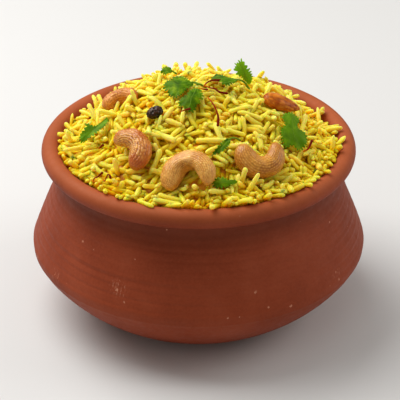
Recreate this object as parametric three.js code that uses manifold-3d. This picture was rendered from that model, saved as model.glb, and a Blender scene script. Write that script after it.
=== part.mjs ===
// A bowl of ghee rice: a low unglazed clay handi heaped with long yellow rice, and on the heap
// fried cashews, an almond, a black raisin, coriander leaves and threads of saffron.
// Millimetres, +Z up, origin at the centre of the foot's underside. The -Y side is the front.
import * as THREE from "three";
import { mergeVertices } from "three/addons/utils/BufferGeometryUtils.js";
import Module from "manifold-3d";

const wasm = await Module();
wasm.setup();

// ---- driving dimensions ----
const GAP = 0.35; // clearance between neighbouring solids
const SEGMENTS = 44; // steps round the pot and the heap

const pot = {
  footR: 44.5,
  bellyR: 77.5,
  bellyZ: 32.7,
  neckR: 64.6,
  neckZ: 69,
  lipR: 72.4,
  lipZ: 80.1,
  lipRoll: 4.4,
  wall: 5.2,
  floor: 6.5,
};

const heap = {
  edgeR: 62.3,
  edgeZ: 79.5,
  height: 32.5,
  fullness: 2.3, // exponent of the mound: 2 is a plain parabola, more is flatter on top
};

const grain = { length: 10.5, radius: 1.2, count: 140 };
const saffronR = 0.5;

const colours = {
  clay: 0xa5563a,
  rice: 0xe8cc2e,
  cashewPale: 0xc98a45,
  cashewBrown: 0xa9541c,
  almond: 0xa8481a,
  raisin: 0x1c1116,
  leaf: 0x3f7d22,
};

// ---- small helpers ----
const TAU = 2 * Math.PI;
const radians = THREE.MathUtils.degToRad;
const point = (r, z) => new THREE.Vector2(r, z);

// Mulberry32, so that every run draws the same numbers.
function seededRandom(seed) {
  let state = seed;
  return () => {
    state = (state + 0x6d2b79f5) | 0;
    let t = Math.imul(state ^ (state >>> 15), 1 | state);
    t = (t + Math.imul(t ^ (t >>> 7), 61 | t)) ^ t;
    return ((t ^ (t >>> 14)) >>> 0) / 4294967296;
  };
}

// Points along a cubic curve in the (r, z) half plane, without its first point.
function sweepTo(from, handle1, handle2, to, steps) {
  return new THREE.CubicBezierCurve(from, handle1, handle2, to).getPoints(steps).slice(1);
}

// The profile turned about Z as one closed solid; it starts and ends on the axis.
function turned(profile) {
  return new THREE.LatheGeometry(profile, SEGMENTS).rotateX(Math.PI / 2);
}

// A geometry from plain [x, y, z] points and triangles.
function meshOf(points, triangles) {
  const geometry = new THREE.BufferGeometry();
  geometry.setAttribute("position", new THREE.Float32BufferAttribute(points.flat(), 3));
  geometry.setIndex(triangles.flat());
  return geometry;
}

// Rings of points, all of one count, skinned into a closed body with a tip at each end.
function skinned(rings, startTip, endTip) {
  const sides = rings[0].length;
  const points = [startTip, ...rings.flat(), endTip];
  const last = points.length - 1;
  const at = (ring, side) => 1 + ring * sides + (side % sides);
  const triangles = [];
  for (let s = 0; s < sides; s++) {
    triangles.push([0, at(0, s + 1), at(0, s)]);
    for (let r = 0; r < rings.length - 1; r++) {
      triangles.push([at(r, s), at(r, s + 1), at(r + 1, s)]);
      triangles.push([at(r, s + 1), at(r + 1, s + 1), at(r + 1, s)]);
    }
    triangles.push([last, at(rings.length - 1, s), at(rings.length - 1, s + 1)]);
  }
  return meshOf(points, triangles);
}

function solidOf(geometry) {
  const bare = geometry.clone();
  bare.deleteAttribute("normal");
  bare.deleteAttribute("uv");
  const merged = mergeVertices(bare, 1e-4);
  const made = new wasm.Manifold(
    new wasm.Mesh({
      numProp: 3,
      vertProperties: merged.attributes.position.array,
      triVerts: new Uint32Array(merged.index.array),
    }),
  );
  return made;
}

function geometryOf(solid) {
  const mesh = solid.getMesh();
  const geometry = new THREE.BufferGeometry();
  geometry.setAttribute("position", new THREE.BufferAttribute(mesh.vertProperties, 3));
  geometry.setIndex(new THREE.BufferAttribute(mesh.triVerts, 1));
  return geometry;
}

// The largest body of a solid: loose scraps and sealed hollows fall away.
function mainBody(solid) {
  return solid.decompose().reduce((a, b) => (b.volume() > a.volume() ? b : a));
}

// ---- the handi ----
const lipCentre = point(pot.lipR - pot.lipRoll, pot.lipZ);
const onLip = (degrees) =>
  point(
    lipCentre.x + pot.lipRoll * Math.cos(radians(degrees)),
    lipCentre.y + pot.lipRoll * Math.sin(radians(degrees)),
  );

// Outer wall, from the foot up to the underside of the rolled lip.
function outerWall() {
  const footEdge = point(pot.footR, 1);
  const underBelly = point(pot.bellyR - 1.1, pot.bellyZ - 3.6);
  const overBelly = point(pot.bellyR - 0.7, pot.bellyZ + 4);
  const shoulderTop = point(pot.neckR + 2, pot.neckZ - 6.2);
  return [
    point(0, 0),
    point(pot.footR - 1.6, 0),
    footEdge,
    ...sweepTo(footEdge, point(58.5, 8), point(71, 19.5), underBelly, 4),
    ...sweepTo(underBelly, point(78, 31.6), point(78, 34.2), overBelly, 2),
    ...sweepTo(overBelly, point(74.2, 44.5), point(70.2, 54), shoulderTop, 3),
    ...sweepTo(shoulderTop, point(64.4, 67.6), point(64, 72), onLip(-112), 3),
  ];
}

// Inner wall, from the lip down past the neck and belly to the floor, drawn in by inset.
function innerWall(inset, startZ) {
  const neck = point(pot.neckR - pot.wall - inset, pot.neckZ);
  const belly = point(pot.bellyR - pot.wall - inset, pot.bellyZ + 1);
  const floorEdge = point(pot.footR - 8, pot.floor + inset);
  const start = point(lipCentre.x - pot.lipRoll - inset, startZ);
  return [
    start,
    ...sweepTo(start, point(start.x - 0.6, startZ - 5), point(neck.x, neck.y + 5), neck, 2),
    ...sweepTo(neck, point(neck.x, 61), point(belly.x, 47), belly, 3),
    ...sweepTo(belly, point(belly.x, 21), point(58 - inset, floorEdge.y), floorEdge, 3),
    point(0, floorEdge.y),
  ];
}

function potGeometry() {
  const roll = [-70, -30, 10, 50, 90, 130].map(onLip);
  return turned([...outerWall(), ...roll, ...innerWall(0, pot.lipZ)]);
}

// ---- the heap's bare surface ----
const bell = (x, y, cx, cy, width) =>
  Math.exp(-((x - cx) ** 2 + (y - cy) ** 2) / (2 * width * width));

// Height of the bare core at (x, y): a mound with slow lumps and three local swells.
function heapZ(x, y) {
  const t = Math.min(1, Math.hypot(x, y) / heap.edgeR);
  const lumps =
    0.8 * Math.sin(0.1 * x + 1.3) * Math.cos(0.12 * y - 0.4) +
    0.5 * Math.sin(0.21 * x - 0.17 * y + 0.7) +
    1.6 * bell(x, y, 50, 12, 11) +
    1.1 * bell(x, y, -17, 6, 8) -
    0.6 * bell(x, y, 24, 4, 9);
  return heap.edgeZ + heap.height * (1 - t ** heap.fullness) + lumps * (1 - t ** 4);
}

// Origin and axes of the surface at (x, y): normal, u towards +X and v up the slope or back.
function surfaceFrame(x, y, lift = 0) {
  const step = 1.5;
  const slopeX = (heapZ(x + step, y) - heapZ(x - step, y)) / (2 * step);
  const slopeY = (heapZ(x, y + step) - heapZ(x, y - step)) / (2 * step);
  const normal = new THREE.Vector3(-slopeX, -slopeY, 1).normalize();
  const u = new THREE.Vector3(1, 0, slopeX).normalize();
  const v = normal.clone().cross(u);
  const origin = new THREE.Vector3(x, y, heapZ(x, y)).addScaledVector(normal, lift);
  return { origin, u, v, normal };
}

// A frame on the surface, turned by heading about its normal, then pitched and rolled.
function seat({ x, y, lift, heading, pitch = 0, roll = 0 }) {
  const { origin, u, v, normal } = surfaceFrame(x, y, lift);
  const turn = new THREE.Matrix4()
    .makeRotationZ(radians(heading))
    .multiply(new THREE.Matrix4().makeRotationY(-radians(pitch)))
    .multiply(new THREE.Matrix4().makeRotationX(radians(roll)));
  return new THREE.Matrix4().makeBasis(u, v, normal).setPosition(origin).multiply(turn);
}

// ---- nuts and raisin ----
// A cashew in its own frame: it bends in the XY plane and opens towards +X. Its inner side is
// hollowed in the middle of the bend.
function cashewGeometry({ bend, girth, sweep, taper, hollow }, grow = 0) {
  const rings = [];
  const ringCount = 13;
  const sides = 8;
  const half = radians(sweep / 2);
  const centre = (t) => {
    const angle = (2 * t - 1) * half;
    return [bend * (0.25 - Math.cos(angle)), bend * Math.sin(angle), angle];
  };
  for (let i = 0; i < ringCount; i++) {
    const t = 0.5 - 0.5 * Math.cos((Math.PI * (i + 1)) / (ringCount + 1));
    const [cx, cy, angle] = centre(t);
    const bulge = Math.sqrt(1 - Math.abs(2 * t - 1) ** 3.4);
    const radius = girth * bulge * (1 + taper * (2 * t - 1)) + grow;
    const inner = 0.86 - hollow * Math.exp(-(((2 * t - 1) / 0.45) ** 2));
    const ring = [];
    for (let s = 0; s < sides; s++) {
      const around = (TAU * s) / sides;
      const out = radius * Math.cos(around) * (Math.cos(around) > 0 ? 1 : inner);
      const up = radius * Math.sin(around) * 0.92;
      ring.push([cx - out * Math.cos(angle), cy + out * Math.sin(angle), up]);
    }
    rings.push(ring);
  }
  const [x0, y0] = centre(0);
  const [x1, y1] = centre(1);
  const push = grow + 0.5; // the tips stand a little proud of the last rings
  const away = (x, y, sign) => [
    x + push * Math.sin(half),
    y + sign * push * Math.cos(half),
    0,
  ];
  return skinned(rings, away(x0, y0, -1), away(x1, y1, 1));
}

// An almond in its own frame: it lies flat on XY, broad towards -X and narrow towards +X.
function almondGeometry({ length, width, thickness }, grow = 0) {
  const rings = [];
  const ringCount = 7;
  const sides = 8;
  for (let i = 0; i < ringCount; i++) {
    const t = 0.5 - 0.5 * Math.cos((Math.PI * (i + 1)) / (ringCount + 1));
    const swell = Math.sin(Math.PI * t ** 0.69) ** 0.58;
    const ring = [];
    for (let s = 0; s < sides; s++) {
      const around = (TAU * s) / sides;
      ring.push([
        (t - 0.5) * length,
        (swell * width * 0.5 + grow) * Math.cos(around),
        (swell * thickness * 0.5 + grow) * Math.sin(around),
      ]);
    }
    rings.push(ring);
  }
  return skinned(rings, [-length / 2 - grow, 0, 0], [length / 2 + grow, 0, 0]);
}

// A raisin: a small ovoid with folds running over it.
function raisinGeometry({ length, width, height }, grow = 0) {
  const faceted = new THREE.IcosahedronGeometry(1, 2);
  faceted.deleteAttribute("normal");
  faceted.deleteAttribute("uv");
  const ball = mergeVertices(faceted);
  const position = ball.attributes.position;
  const v = new THREE.Vector3();
  for (let i = 0; i < position.count; i++) {
    v.fromBufferAttribute(position, i).normalize();
    const fold = 1 + 0.08 * Math.sin(5 * v.x + 3 * v.z) * Math.cos(6 * v.y - 2 * v.x);
    position.setXYZ(
      i,
      v.x * ((length / 2) * fold + grow),
      v.y * ((width / 2) * fold + grow),
      v.z * ((height / 2) * fold + grow),
    );
  }
  return ball;
}

const nuts = [
  {
    name: "cashew_left",
    colour: colours.cashewBrown,
    shape: cashewGeometry,
    form: { bend: 7.25, girth: 5.15, sweep: 202, taper: 0.11, hollow: 0.02 },
    place: { x: -29.7, y: -36.1, lift: 3.5, heading: 193.6, pitch: 7.1, roll: -3.8 },
  },
  {
    name: "cashew_centre",
    colour: colours.cashewPale,
    shape: cashewGeometry,
    form: { bend: 7.9, girth: 5.6, sweep: 232, taper: -0.12, hollow: 0.4 },
    place: { x: -3.9, y: -51.2, lift: 3.9, heading: -90.3, pitch: 7.6, roll: 13.7 },
  },
  {
    name: "cashew_right",
    colour: colours.cashewPale,
    shape: cashewGeometry,
    form: { bend: 7.15, girth: 5.55, sweep: 234, taper: 0.12, hollow: 0.05 },
    place: { x: 26.4, y: -38.9, lift: 3.4, heading: 114, pitch: 9.8, roll: -2.9 },
  },
  {
    name: "cashew_back",
    colour: colours.cashewBrown,
    shape: cashewGeometry,
    form: { bend: 7.65, girth: 3.95, sweep: 149, taper: -0.17, hollow: 0.19 },
    place: { x: -35.9, y: 0.4, lift: 0.2, heading: -100, pitch: -4.5, roll: -7.7 },
  },
  {
    name: "almond",
    colour: colours.almond,
    shape: almondGeometry,
    form: { length: 18.6, width: 9, thickness: 6.6 },
    place: { x: 36.9, y: -2.5, lift: 2.1, heading: 8.6, pitch: 7.8, roll: 1.9 },
  },
  {
    name: "raisin",
    colour: colours.raisin,
    shape: raisinGeometry,
    form: { length: 7.6, width: 6, height: 5 },
    place: { x: -18.8, y: -21.8, lift: 2.4, heading: 10 },
  },
];

// ---- coriander ----
const leafThickness = 0.5;

// A smooth line along points given as [x, y, height above the bare heap].
function heapCurve(route) {
  return new THREE.CatmullRomCurve3(
    route.map(([x, y, lift]) => surfaceFrame(x, y, lift).origin),
  );
}

// Reach of a leaflet's edge at an angle from its tip: one smooth swelling for each lobe.
function leafReach(lobes, angle) {
  const least = 0.36 * Math.max(...lobes.map(([, reach]) => reach));
  let sum = least ** 4;
  for (const [towards, reach, width] of lobes) {
    const turn = angle - radians(towards);
    const away = Math.atan2(Math.sin(turn), Math.cos(turn));
    sum += (reach * Math.exp(-((away / radians(width)) ** 2))) ** 4;
  }
  return sum ** 0.25;
}

// A wavy blade about its midrib, which runs from base to tip; both faces are split alike.
// Each lobe is [degrees from the tip, reach, width in degrees]; cup lifts the two edges.
function leafletGeometry({ route, lobes, faces = [0, 0, 1], cup = 0, wave = 0.45 }, grow = 0) {
  const spokes = 16;
  const half = leafThickness / 2 + grow;
  const midrib = heapCurve(route);
  const length = midrib.getLength();
  const upper = new THREE.Vector3(...faces);
  const onBlade = (angle, reach, side) => {
    const ahead = 0.5 * length + reach * Math.cos(angle);
    const aside = reach * Math.sin(angle);
    const t = THREE.MathUtils.clamp(ahead / length, 0, 1);
    const along = midrib.getTangent(t);
    const across = upper.clone().cross(along).normalize();
    const normal = along.clone().cross(across);
    const ripple = wave * (reach / (0.5 * length)) * Math.sin(3 * angle + 0.8);
    return midrib
      .getPoint(t)
      .addScaledVector(along, ahead - t * length)
      .addScaledVector(across, aside)
      .addScaledVector(normal, cup * aside * aside + ripple + side * half)
      .toArray();
  };
  const face = (side) => {
    const points = [onBlade(0, 0, side)];
    for (const share of [0.55, 1]) {
      for (let s = 0; s < spokes; s++) {
        const angle = (TAU * s) / spokes;
        points.push(onBlade(angle, share * leafReach(lobes, angle) + share * grow, side));
      }
    }
    return points;
  };
  const count = 1 + 2 * spokes;
  const triangles = [];
  const add = (a, b, c) => {
    triangles.push([a, b, c]);
    triangles.push([a + count, c + count, b + count]);
  };
  for (let s = 0; s < spokes; s++) {
    const next = (s + 1) % spokes;
    const [inner, innerNext] = [1 + s, 1 + next];
    const [outer, outerNext] = [1 + spokes + s, 1 + spokes + next];
    add(0, inner, innerNext);
    add(inner, outer, outerNext);
    add(inner, outerNext, innerNext);
    triangles.push([outer, outer + count, outerNext]);
    triangles.push([outerNext, outer + count, outerNext + count]);
  }
  return meshOf([...face(1), ...face(-1)], triangles);
}

// A round stalk or saffron thread along a route over the heap.
function threadGeometry(route, radiusAt, sides, steps) {
  const curve = heapCurve(route);
  const rings = [];
  for (let i = 0; i <= steps; i++) {
    const t = i / steps;
    const along = curve.getTangent(t);
    const side = new THREE.Vector3(0, 0, 1).cross(along).normalize();
    const up = along.clone().cross(side);
    const ring = [];
    for (let s = 0; s < sides; s++) {
      const around = (TAU * s) / sides;
      const onRim = curve
        .getPoint(t)
        .addScaledVector(side, radiusAt(t) * Math.cos(around))
        .addScaledVector(up, radiusAt(t) * Math.sin(around));
      ring.push(onRim.toArray());
    }
    rings.push(ring);
  }
  const tip = (t, sign) =>
    curve.getPoint(t).addScaledVector(curve.getTangent(t), sign * radiusAt(t)).toArray();
  return skinned(rings, tip(0, -1), tip(1, 1));
}

// Each sprig: leaflets, and the stalks that join them. Routes are [x, y, height above the heap].
const sprigs = [
  {
    name: "leaf_top",
    leaflets: [
      {
        route: [[-2.2, -6.8, 4], [-8.2, -8, 4.4], [-14.6, -8.8, 3.4]],
        lobes: [[0, 6.8, 40], [64, 8.4, 36], [-64, 8.4, 36], [180, 6.6, 22]],
        faces: [-0.05, -0.25, 1],
      },
      {
        route: [[-1.2, -9.4, 4.4], [-3.3, -16, 4.3], [-5, -22, 2.8]],
        lobes: [[0, 7, 40], [64, 6, 36], [-64, 6, 36], [180, 7, 22]],
        cup: -0.03,
      },
    ],
    stalks: [
      [[-8.2, -8, 4.4], [-1.6, -7.4, 4.4], [3, -7.7, 2.9]],
      [[-3.3, -16, 4.3], [-1.4, -7.6, 4.3]],
    ],
  },
  {
    name: "leaf_crown",
    leaflets: [
      {
        route: [[17, -1.6, 3.8], [10.8, -1, 4.2], [4.9, -0.4, 3.2]],
        lobes: [[0, 7, 40], [64, 4.8, 38], [-64, 4.8, 38], [180, 7, 22]],
      },
      {
        route: [[21.4, 2.4, 2.6], [18.9, 2.3, 7.9], [16.4, 2, 12.2]],
        lobes: [[0, 6, 40], [60, 5.2, 38], [-60, 5.2, 38], [180, 5.4, 22]],
        faces: [0.1, -1, 0.2],
      },
    ],
    stalks: [
      [[10.8, -1, 4.2], [18, 1.4, 3.8], [22.9, 0.6, 2.6]],
      [[18.9, 2.3, 7.9], [21.4, 2, 3]],
    ],
  },
  {
    name: "leaf_back",
    leaflets: [
      {
        route: [[-12, 7.8, 2.9], [-14.4, 8.6, 3.7], [-16.8, 9.2, 3.6]],
        lobes: [[0, 3.2, 44], [90, 3, 44], [-90, 3, 44], [180, 2.8, 40]],
      },
    ],
    stalks: [],
  },
  {
    name: "leaf_left",
    leaflets: [
      {
        route: [[-39, -11.4, 3.6], [-45.2, -15, 4.2], [-51, -18.2, 4.6]],
        lobes: [[0, 7.2, 36], [-58, 5.6, 28], [62, 4, 40], [180, 7.4, 30]],
        cup: 0.05,
      },
    ],
    stalks: [],
  },
  {
    name: "leaf_right",
    leaflets: [
      {
        route: [[41.4, -30, 2.8], [41.2, -20.6, 3.8], [41.2, -9, 3]],
        lobes: [[0, 10.6, 34], [128, 8.6, 34], [-134, 10.2, 32], [180, 5, 30]],
        faces: [0.35, -0.5, 0.8],
      },
    ],
    stalks: [],
  },
  {
    name: "leaf_middle",
    leaflets: [
      {
        route: [[13.4, -37.6, 3.4], [9.9, -41.2, 4], [6.2, -43.6, 3]],
        lobes: [[0, 4.8, 36], [60, 3, 36], [-60, 3, 36], [180, 4.2, 26]],
        cup: 0.1,
      },
    ],
    stalks: [[[9.9, -41.2, 4], [13.6, -37.2, 3.6], [18.2, -36, 3]]],
  },
  {
    name: "leaf_front",
    leaflets: [
      {
        route: [[15.6, -52.2, 2.8], [11.2, -53.4, 3.6], [6.8, -53.6, 2.8]],
        lobes: [[0, 4.6, 40], [66, 3.4, 36], [-66, 3.4, 36], [180, 4.4, 26]],
        faces: [0, -0.5, 1],
        cup: 0.05,
      },
    ],
    stalks: [],
  },
];

const stalkR = 0.55;

function sprigSolid({ leaflets, stalks }, grow = 0) {
  const blades = leaflets.map((leaflet) =>
    solidOf(leafletGeometry(leaflet, grow)),
  );
  const stems = stalks.map((route) =>
    solidOf(threadGeometry(route, () => stalkR + grow, 6, 4)),
  );
  return [...blades, ...stems].reduce((a, b) => a.add(b));
}

// ---- rice ----
// The bare core: it fills the pot a clearance inside the wall and swells to the mound.
function coreGeometry() {
  const inside = innerWall(GAP, heap.edgeZ).reverse();
  const rings = 8;
  const profile = [...inside];
  for (let i = 1; i <= rings; i++) profile.push(point(heap.edgeR * (1 - i / rings), heap.edgeZ));
  const geometry = turned(profile);
  const position = geometry.attributes.position;
  for (let i = 0; i < position.count; i++) {
    const [x, y, z] = [position.getX(i), position.getY(i), position.getZ(i)];
    const isMound = z > heap.edgeZ - 0.01 && Math.hypot(x, y) < heap.edgeR - 1;
    if (isMound) position.setZ(i, heapZ(x, y));
  }
  return geometry;
}

// A cooked grain: a five-sided spindle along a slightly bowed line.
function grainGeometry(middle, along, bow, length, radius) {
  const side = along.clone().cross(bow).normalize();
  const rings = [[-0.3, 0.92], [0.3, 0.9]].map(([share, swell]) => {
    const centre = middle
      .clone()
      .addScaledVector(along, share * length)
      .addScaledVector(bow, -0.6 * share * share * length * 0.5);
    return [0, 1, 2, 3, 4].map((s) => {
      const around = (TAU * s) / 5;
      return centre
        .clone()
        .addScaledVector(bow, radius * swell * Math.cos(around))
        .addScaledVector(side, radius * swell * Math.sin(around))
        .toArray();
    });
  });
  const tip = (share) =>
    middle
      .clone()
      .addScaledVector(along, share * length)
      .addScaledVector(bow, -0.6 * share * share * length * 0.5)
      .toArray();
  return skinned(rings, tip(-0.5), tip(0.5));
}

// Radius of the pot's inner face at height z, above the neck: the wall, then the lip's roll.
function lipInnerR(z) {
  const up = THREE.MathUtils.clamp((z - pot.lipZ) / pot.lipRoll, 0, 1);
  return z < pot.lipZ
    ? lipCentre.x - pot.lipRoll - 0.12 * (pot.lipZ - z)
    : lipCentre.x - pot.lipRoll * Math.sqrt(1 - up * up);
}

// Whether a grain keeps clear of the pot and of every point of the toppings.
function isClear(middle, along, length, radius, obstacles) {
  for (const share of [-0.5, -0.3, -0.1, 0.1, 0.3, 0.5]) {
    const p = middle.clone().addScaledVector(along, share * length);
    const outside = Math.hypot(p.x, p.y) + radius + GAP;
    if (p.z < pot.lipZ + pot.lipRoll + radius && outside > lipInnerR(p.z)) return false;
    if (obstacles.some(({ at, reach }) => at.distanceTo(p) < reach + radius + GAP)) return false;
  }
  return true;
}

// Corners and middles of a geometry's triangles, as points for grains to keep away from.
function obstaclesOf(geometry, reach) {
  const flat = geometry.index ? geometry.toNonIndexed() : geometry;
  const position = flat.attributes.position;
  const found = [];
  for (let i = 0; i < position.count; i += 3) {
    const corners = [0, 1, 2].map((k) => new THREE.Vector3().fromBufferAttribute(position, i + k));
    const middle = corners[0].clone().add(corners[1]).add(corners[2]).divideScalar(3);
    found.push(...[...corners, middle].map((at) => ({ at, reach })));
  }
  return found;
}

// Grains laid over the mound on a sunflower spiral, so that they spread evenly.
function grainSolids(obstacles) {
  const random = seededRandom(20);
  const golden = Math.PI * (3 - Math.sqrt(5));
  const made = [];
  for (let i = 0; i < grain.count; i++) {
    const r = (heap.edgeR - 1.6) * Math.sqrt((i + 0.5) / grain.count);
    const x = r * Math.cos(i * golden);
    const y = r * Math.sin(i * golden);
    const length = grain.length * (0.82 + 0.36 * random());
    const radius = grain.radius * (0.9 + 0.2 * random());
    for (let attempt = 0; attempt < 10; attempt++) {
      const { origin, u, v, normal } = surfaceFrame(x, y, 0.7);
      const heading = TAU * random();
      const steep = radians(random() < 0.3 ? 18 + 20 * random() : 15 * random());
      const flat = u.clone().multiplyScalar(Math.cos(heading)).addScaledVector(v, Math.sin(heading));
      const along = flat
        .multiplyScalar(Math.cos(steep))
        .addScaledVector(normal, Math.sin(steep))
        .normalize();
      const bow = normal.clone().addScaledVector(along, -normal.dot(along)).normalize();
      const middle = origin.addScaledVector(along, 0.28 * length * Math.sin(steep));
      if (isClear(middle, along, length, radius, obstacles)) {
        made.push(solidOf(grainGeometry(middle, along, bow, length, radius)));
        break;
      }
    }
  }
  return made;
}

// Saffron threads, fused to the rice: routes of [x, y, height above the bare heap].
const saffron = [
  [[2.6, -4.2, 1.6], [4.6, -1.4, 1.9], [8, 1.2, 1.9], [11.4, 2, 1.3]],
  [[3.4, -5.6, 1.4], [7, -5.8, 1.9], [10.2, -6.8, 1.8], [13.4, -8.2, 1.3]],
  [[4.4, -11.8, 1.3], [7, -16.4, 1.8], [8.2, -22.4, 1.8], [8.8, -30.4, 1.3]],
  [[-8.6, -22.8, 1.4], [-6, -21.4, 1.7], [-4, -20.6, 1.3]],
  [[-45.6, -40.4, 1.3], [-43, -39.8, 1.6], [-40.2, -38.4, 1.3]],
  [[-39.8, -41, 1.3], [-37.4, -42.4, 1.7], [-36.4, -45, 1.3]],
  [[-45.4, -26.6, 1.3], [-43.8, -25.8, 1.7], [-42.2, -26.6, 1.3]],
  [[46.8, -27, 1.3], [49.6, -22.8, 1.6], [51.2, -17, 1.3]],
];

function riceGeometry(toppings, sprigSolids) {
  const obstacles = [
    ...toppings.flatMap(({ geometry }) => obstaclesOf(geometry, 0.4)),
    ...sprigSolids.flatMap((solid) => obstaclesOf(geometryOf(solid), 0.7)),
  ];
  let rice = solidOf(coreGeometry());
  for (const piece of grainSolids(obstacles)) rice = rice.add(piece);
  for (const route of saffron) {
    rice = rice.add(solidOf(threadGeometry(route, (t) => saffronR * (0.75 + 0.5 * t), 5, 4)));
  }
  for (const { shape, form, place } of nuts) {
    rice = rice.subtract(solidOf(shape(form, GAP).applyMatrix4(seat(place))));
  }
  for (const sprig of sprigs) rice = rice.subtract(sprigSolid(sprig, GAP));
  return geometryOf(mainBody(rice));
}

// ---- the group ----
function named(name, geometry, colour, roughness) {
  const flat = geometry.index ? geometry.toNonIndexed() : geometry;
  flat.computeVertexNormals();
  const material = new THREE.MeshStandardMaterial({ color: colour, roughness, metalness: 0 });
  const mesh = new THREE.Mesh(flat, material);
  mesh.name = name;
  return mesh;
}

const toppings = nuts.map(({ name, colour, shape, form, place }) => ({
  name,
  colour,
  geometry: shape(form).applyMatrix4(seat(place)),
}));
const sprigSolids = sprigs.map((sprig) => sprigSolid(sprig));

const bowl = new THREE.Group();
bowl.name = "bowl_of_ghee_rice";
bowl.add(named("pot", potGeometry(), colours.clay, 0.85));
bowl.add(named("rice", riceGeometry(toppings, sprigSolids), colours.rice, 0.45));
for (const { name, geometry, colour } of toppings) {
  bowl.add(named(name, geometry, colour, 0.4));
}
sprigs.forEach(({ name }, i) => {
  bowl.add(named(name, geometryOf(sprigSolids[i]), colours.leaf, 0.5));
});

export default bowl;
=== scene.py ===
"""A clay handi heaped with ghee rice, nuts, coriander and saffron: the looks round the CAD frame.

Shapes are worked out in millimetres, in the part's own frame: +Z up, the origin at the centre of
the foot's underside, -Y at the front. A mesh is turned into metres when it is made.
"""

import math
from typing import NamedTuple

import bpy
import numpy as np
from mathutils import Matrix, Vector, kdtree, noise
from mathutils.bvhtree import BVHTree


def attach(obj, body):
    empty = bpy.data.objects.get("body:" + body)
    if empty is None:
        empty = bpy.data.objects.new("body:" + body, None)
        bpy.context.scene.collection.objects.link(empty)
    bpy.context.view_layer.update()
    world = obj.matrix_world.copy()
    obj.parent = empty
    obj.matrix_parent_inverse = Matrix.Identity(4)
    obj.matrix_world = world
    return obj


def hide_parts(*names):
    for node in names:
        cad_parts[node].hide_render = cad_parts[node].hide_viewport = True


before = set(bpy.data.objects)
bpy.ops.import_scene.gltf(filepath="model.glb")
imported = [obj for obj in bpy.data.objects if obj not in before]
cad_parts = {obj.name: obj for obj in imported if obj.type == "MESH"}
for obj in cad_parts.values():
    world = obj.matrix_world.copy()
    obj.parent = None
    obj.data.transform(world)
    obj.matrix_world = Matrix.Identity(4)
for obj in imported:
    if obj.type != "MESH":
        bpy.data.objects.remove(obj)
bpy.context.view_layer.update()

MM = 0.001
TAU = 2 * math.pi
BODY = "root"
UP = np.array([0, 0, 1.0])
rng = np.random.default_rng(41)

# ---- driving dimensions, as in the solids ----
FOOT_R = 44.5
BELLY_R, BELLY_Z = 77.5, 32.7
NECK_R, NECK_Z = 64.6, 69.0
LIP_R, LIP_Z, LIP_ROLL = 72.4, 80.1, 4.4
WALL, FLOOR = 5.2, 6.5
LIP_MID_R = LIP_R - LIP_ROLL
GROOVE_Z = 47.5

HEAP_R, HEAP_EDGE_Z, HEAP_HEIGHT, HEAP_FULLNESS = 62.3, 79.5, 32.5, 2.3

# ---- the looks' own dimensions ----
RIM_START_R, RIM_WIDTH = 46, 14  # the ring of the heap that turns down to the lip
BED_DEPTH, RIM_BED_DEPTH = 5.8, 1.8  # how far the bed lies under the bare heap, for the loose grains
BACK_BED_DEPTH = 3.2  # how much deeper it lies by the rim at the back
SLOPE_STEP = 1.5


# ---- meshes ----
def skin(rings, start=None, end=None):
    """Points and faces of rings (n, sides, 3) joined in turn, with a tip at each end if given."""
    count, sides = rings.shape[:2]
    points = rings.reshape(-1, 3)
    side = np.arange(sides)
    after = (side + 1) % sides
    base = np.arange(count - 1)[:, None] * sides
    a, b = base + side, base + after
    faces = np.stack([a, b, b + sides, a + sides], -1).reshape(-1, 4).tolist()
    last = (count - 1) * sides
    for tip, first, second in ((start, after, side), (end, last + side, last + after)):
        if tip is not None:
            faces += np.stack([np.full(sides, len(points)), first, second], -1).tolist()
            points = np.vstack([points, tip])
    return points, faces


def linked(name, data):
    """A new object in the scene."""
    made = bpy.data.objects.new(name, data)
    bpy.context.collection.objects.link(made)
    return made


def add_piece(name, points, faces, material, slot, replaces, **values):
    """A smooth mesh piece from points in mm, with one number a point for each named value."""
    mesh = bpy.data.meshes.new(name)
    mesh.from_pydata((np.asarray(points) * MM).tolist(), [], faces)
    for key, numbers in values.items():
        layer = mesh.attributes.new(key, "FLOAT", "POINT")
        layer.data.foreach_set("value", np.asarray(numbers, np.float32))
    mesh.polygons.foreach_set("use_smooth", [True] * len(mesh.polygons))
    mesh.materials.append(material)
    mesh.update()
    piece = linked(name, mesh)
    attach(piece, BODY)
    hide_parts(*replaces)


def ripples(points, scale, octaves, seed):
    """Smooth noise, about -1 to 1, at each of points (..., 3) in mm; scale is its size in mm."""
    shift = Vector((seed, seed * 0.7, -seed))
    values = [
        noise.fractal(Vector(point) / scale + shift, 0.6, 2.1, octaves) for point in points.reshape(-1, 3)
    ]
    return np.reshape(values, points.shape[:-1])


def grid_points(x, y, z):
    """Points (..., 3) of three coordinates that fill one grid together."""
    return np.stack(np.broadcast_arrays(x, y, z), -1)


def turns_of(sides):
    """The angles of points evenly round a circle."""
    return np.arange(sides) * TAU / sides


def unit(vectors):
    """The vectors at length 1."""
    return vectors / np.linalg.norm(vectors, axis=-1, keepdims=True)


def turned(turns, points):
    """Points (n, k, 3) turned by the matrix (n, 3, 3) of each of n grains."""
    return np.einsum("nij,nkj->nki", turns, points)


def bell(value, width):
    """A smooth hump: 1 where the value is 0, and next to nothing at twice the width."""
    return np.exp(-((value / width) ** 2))


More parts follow.
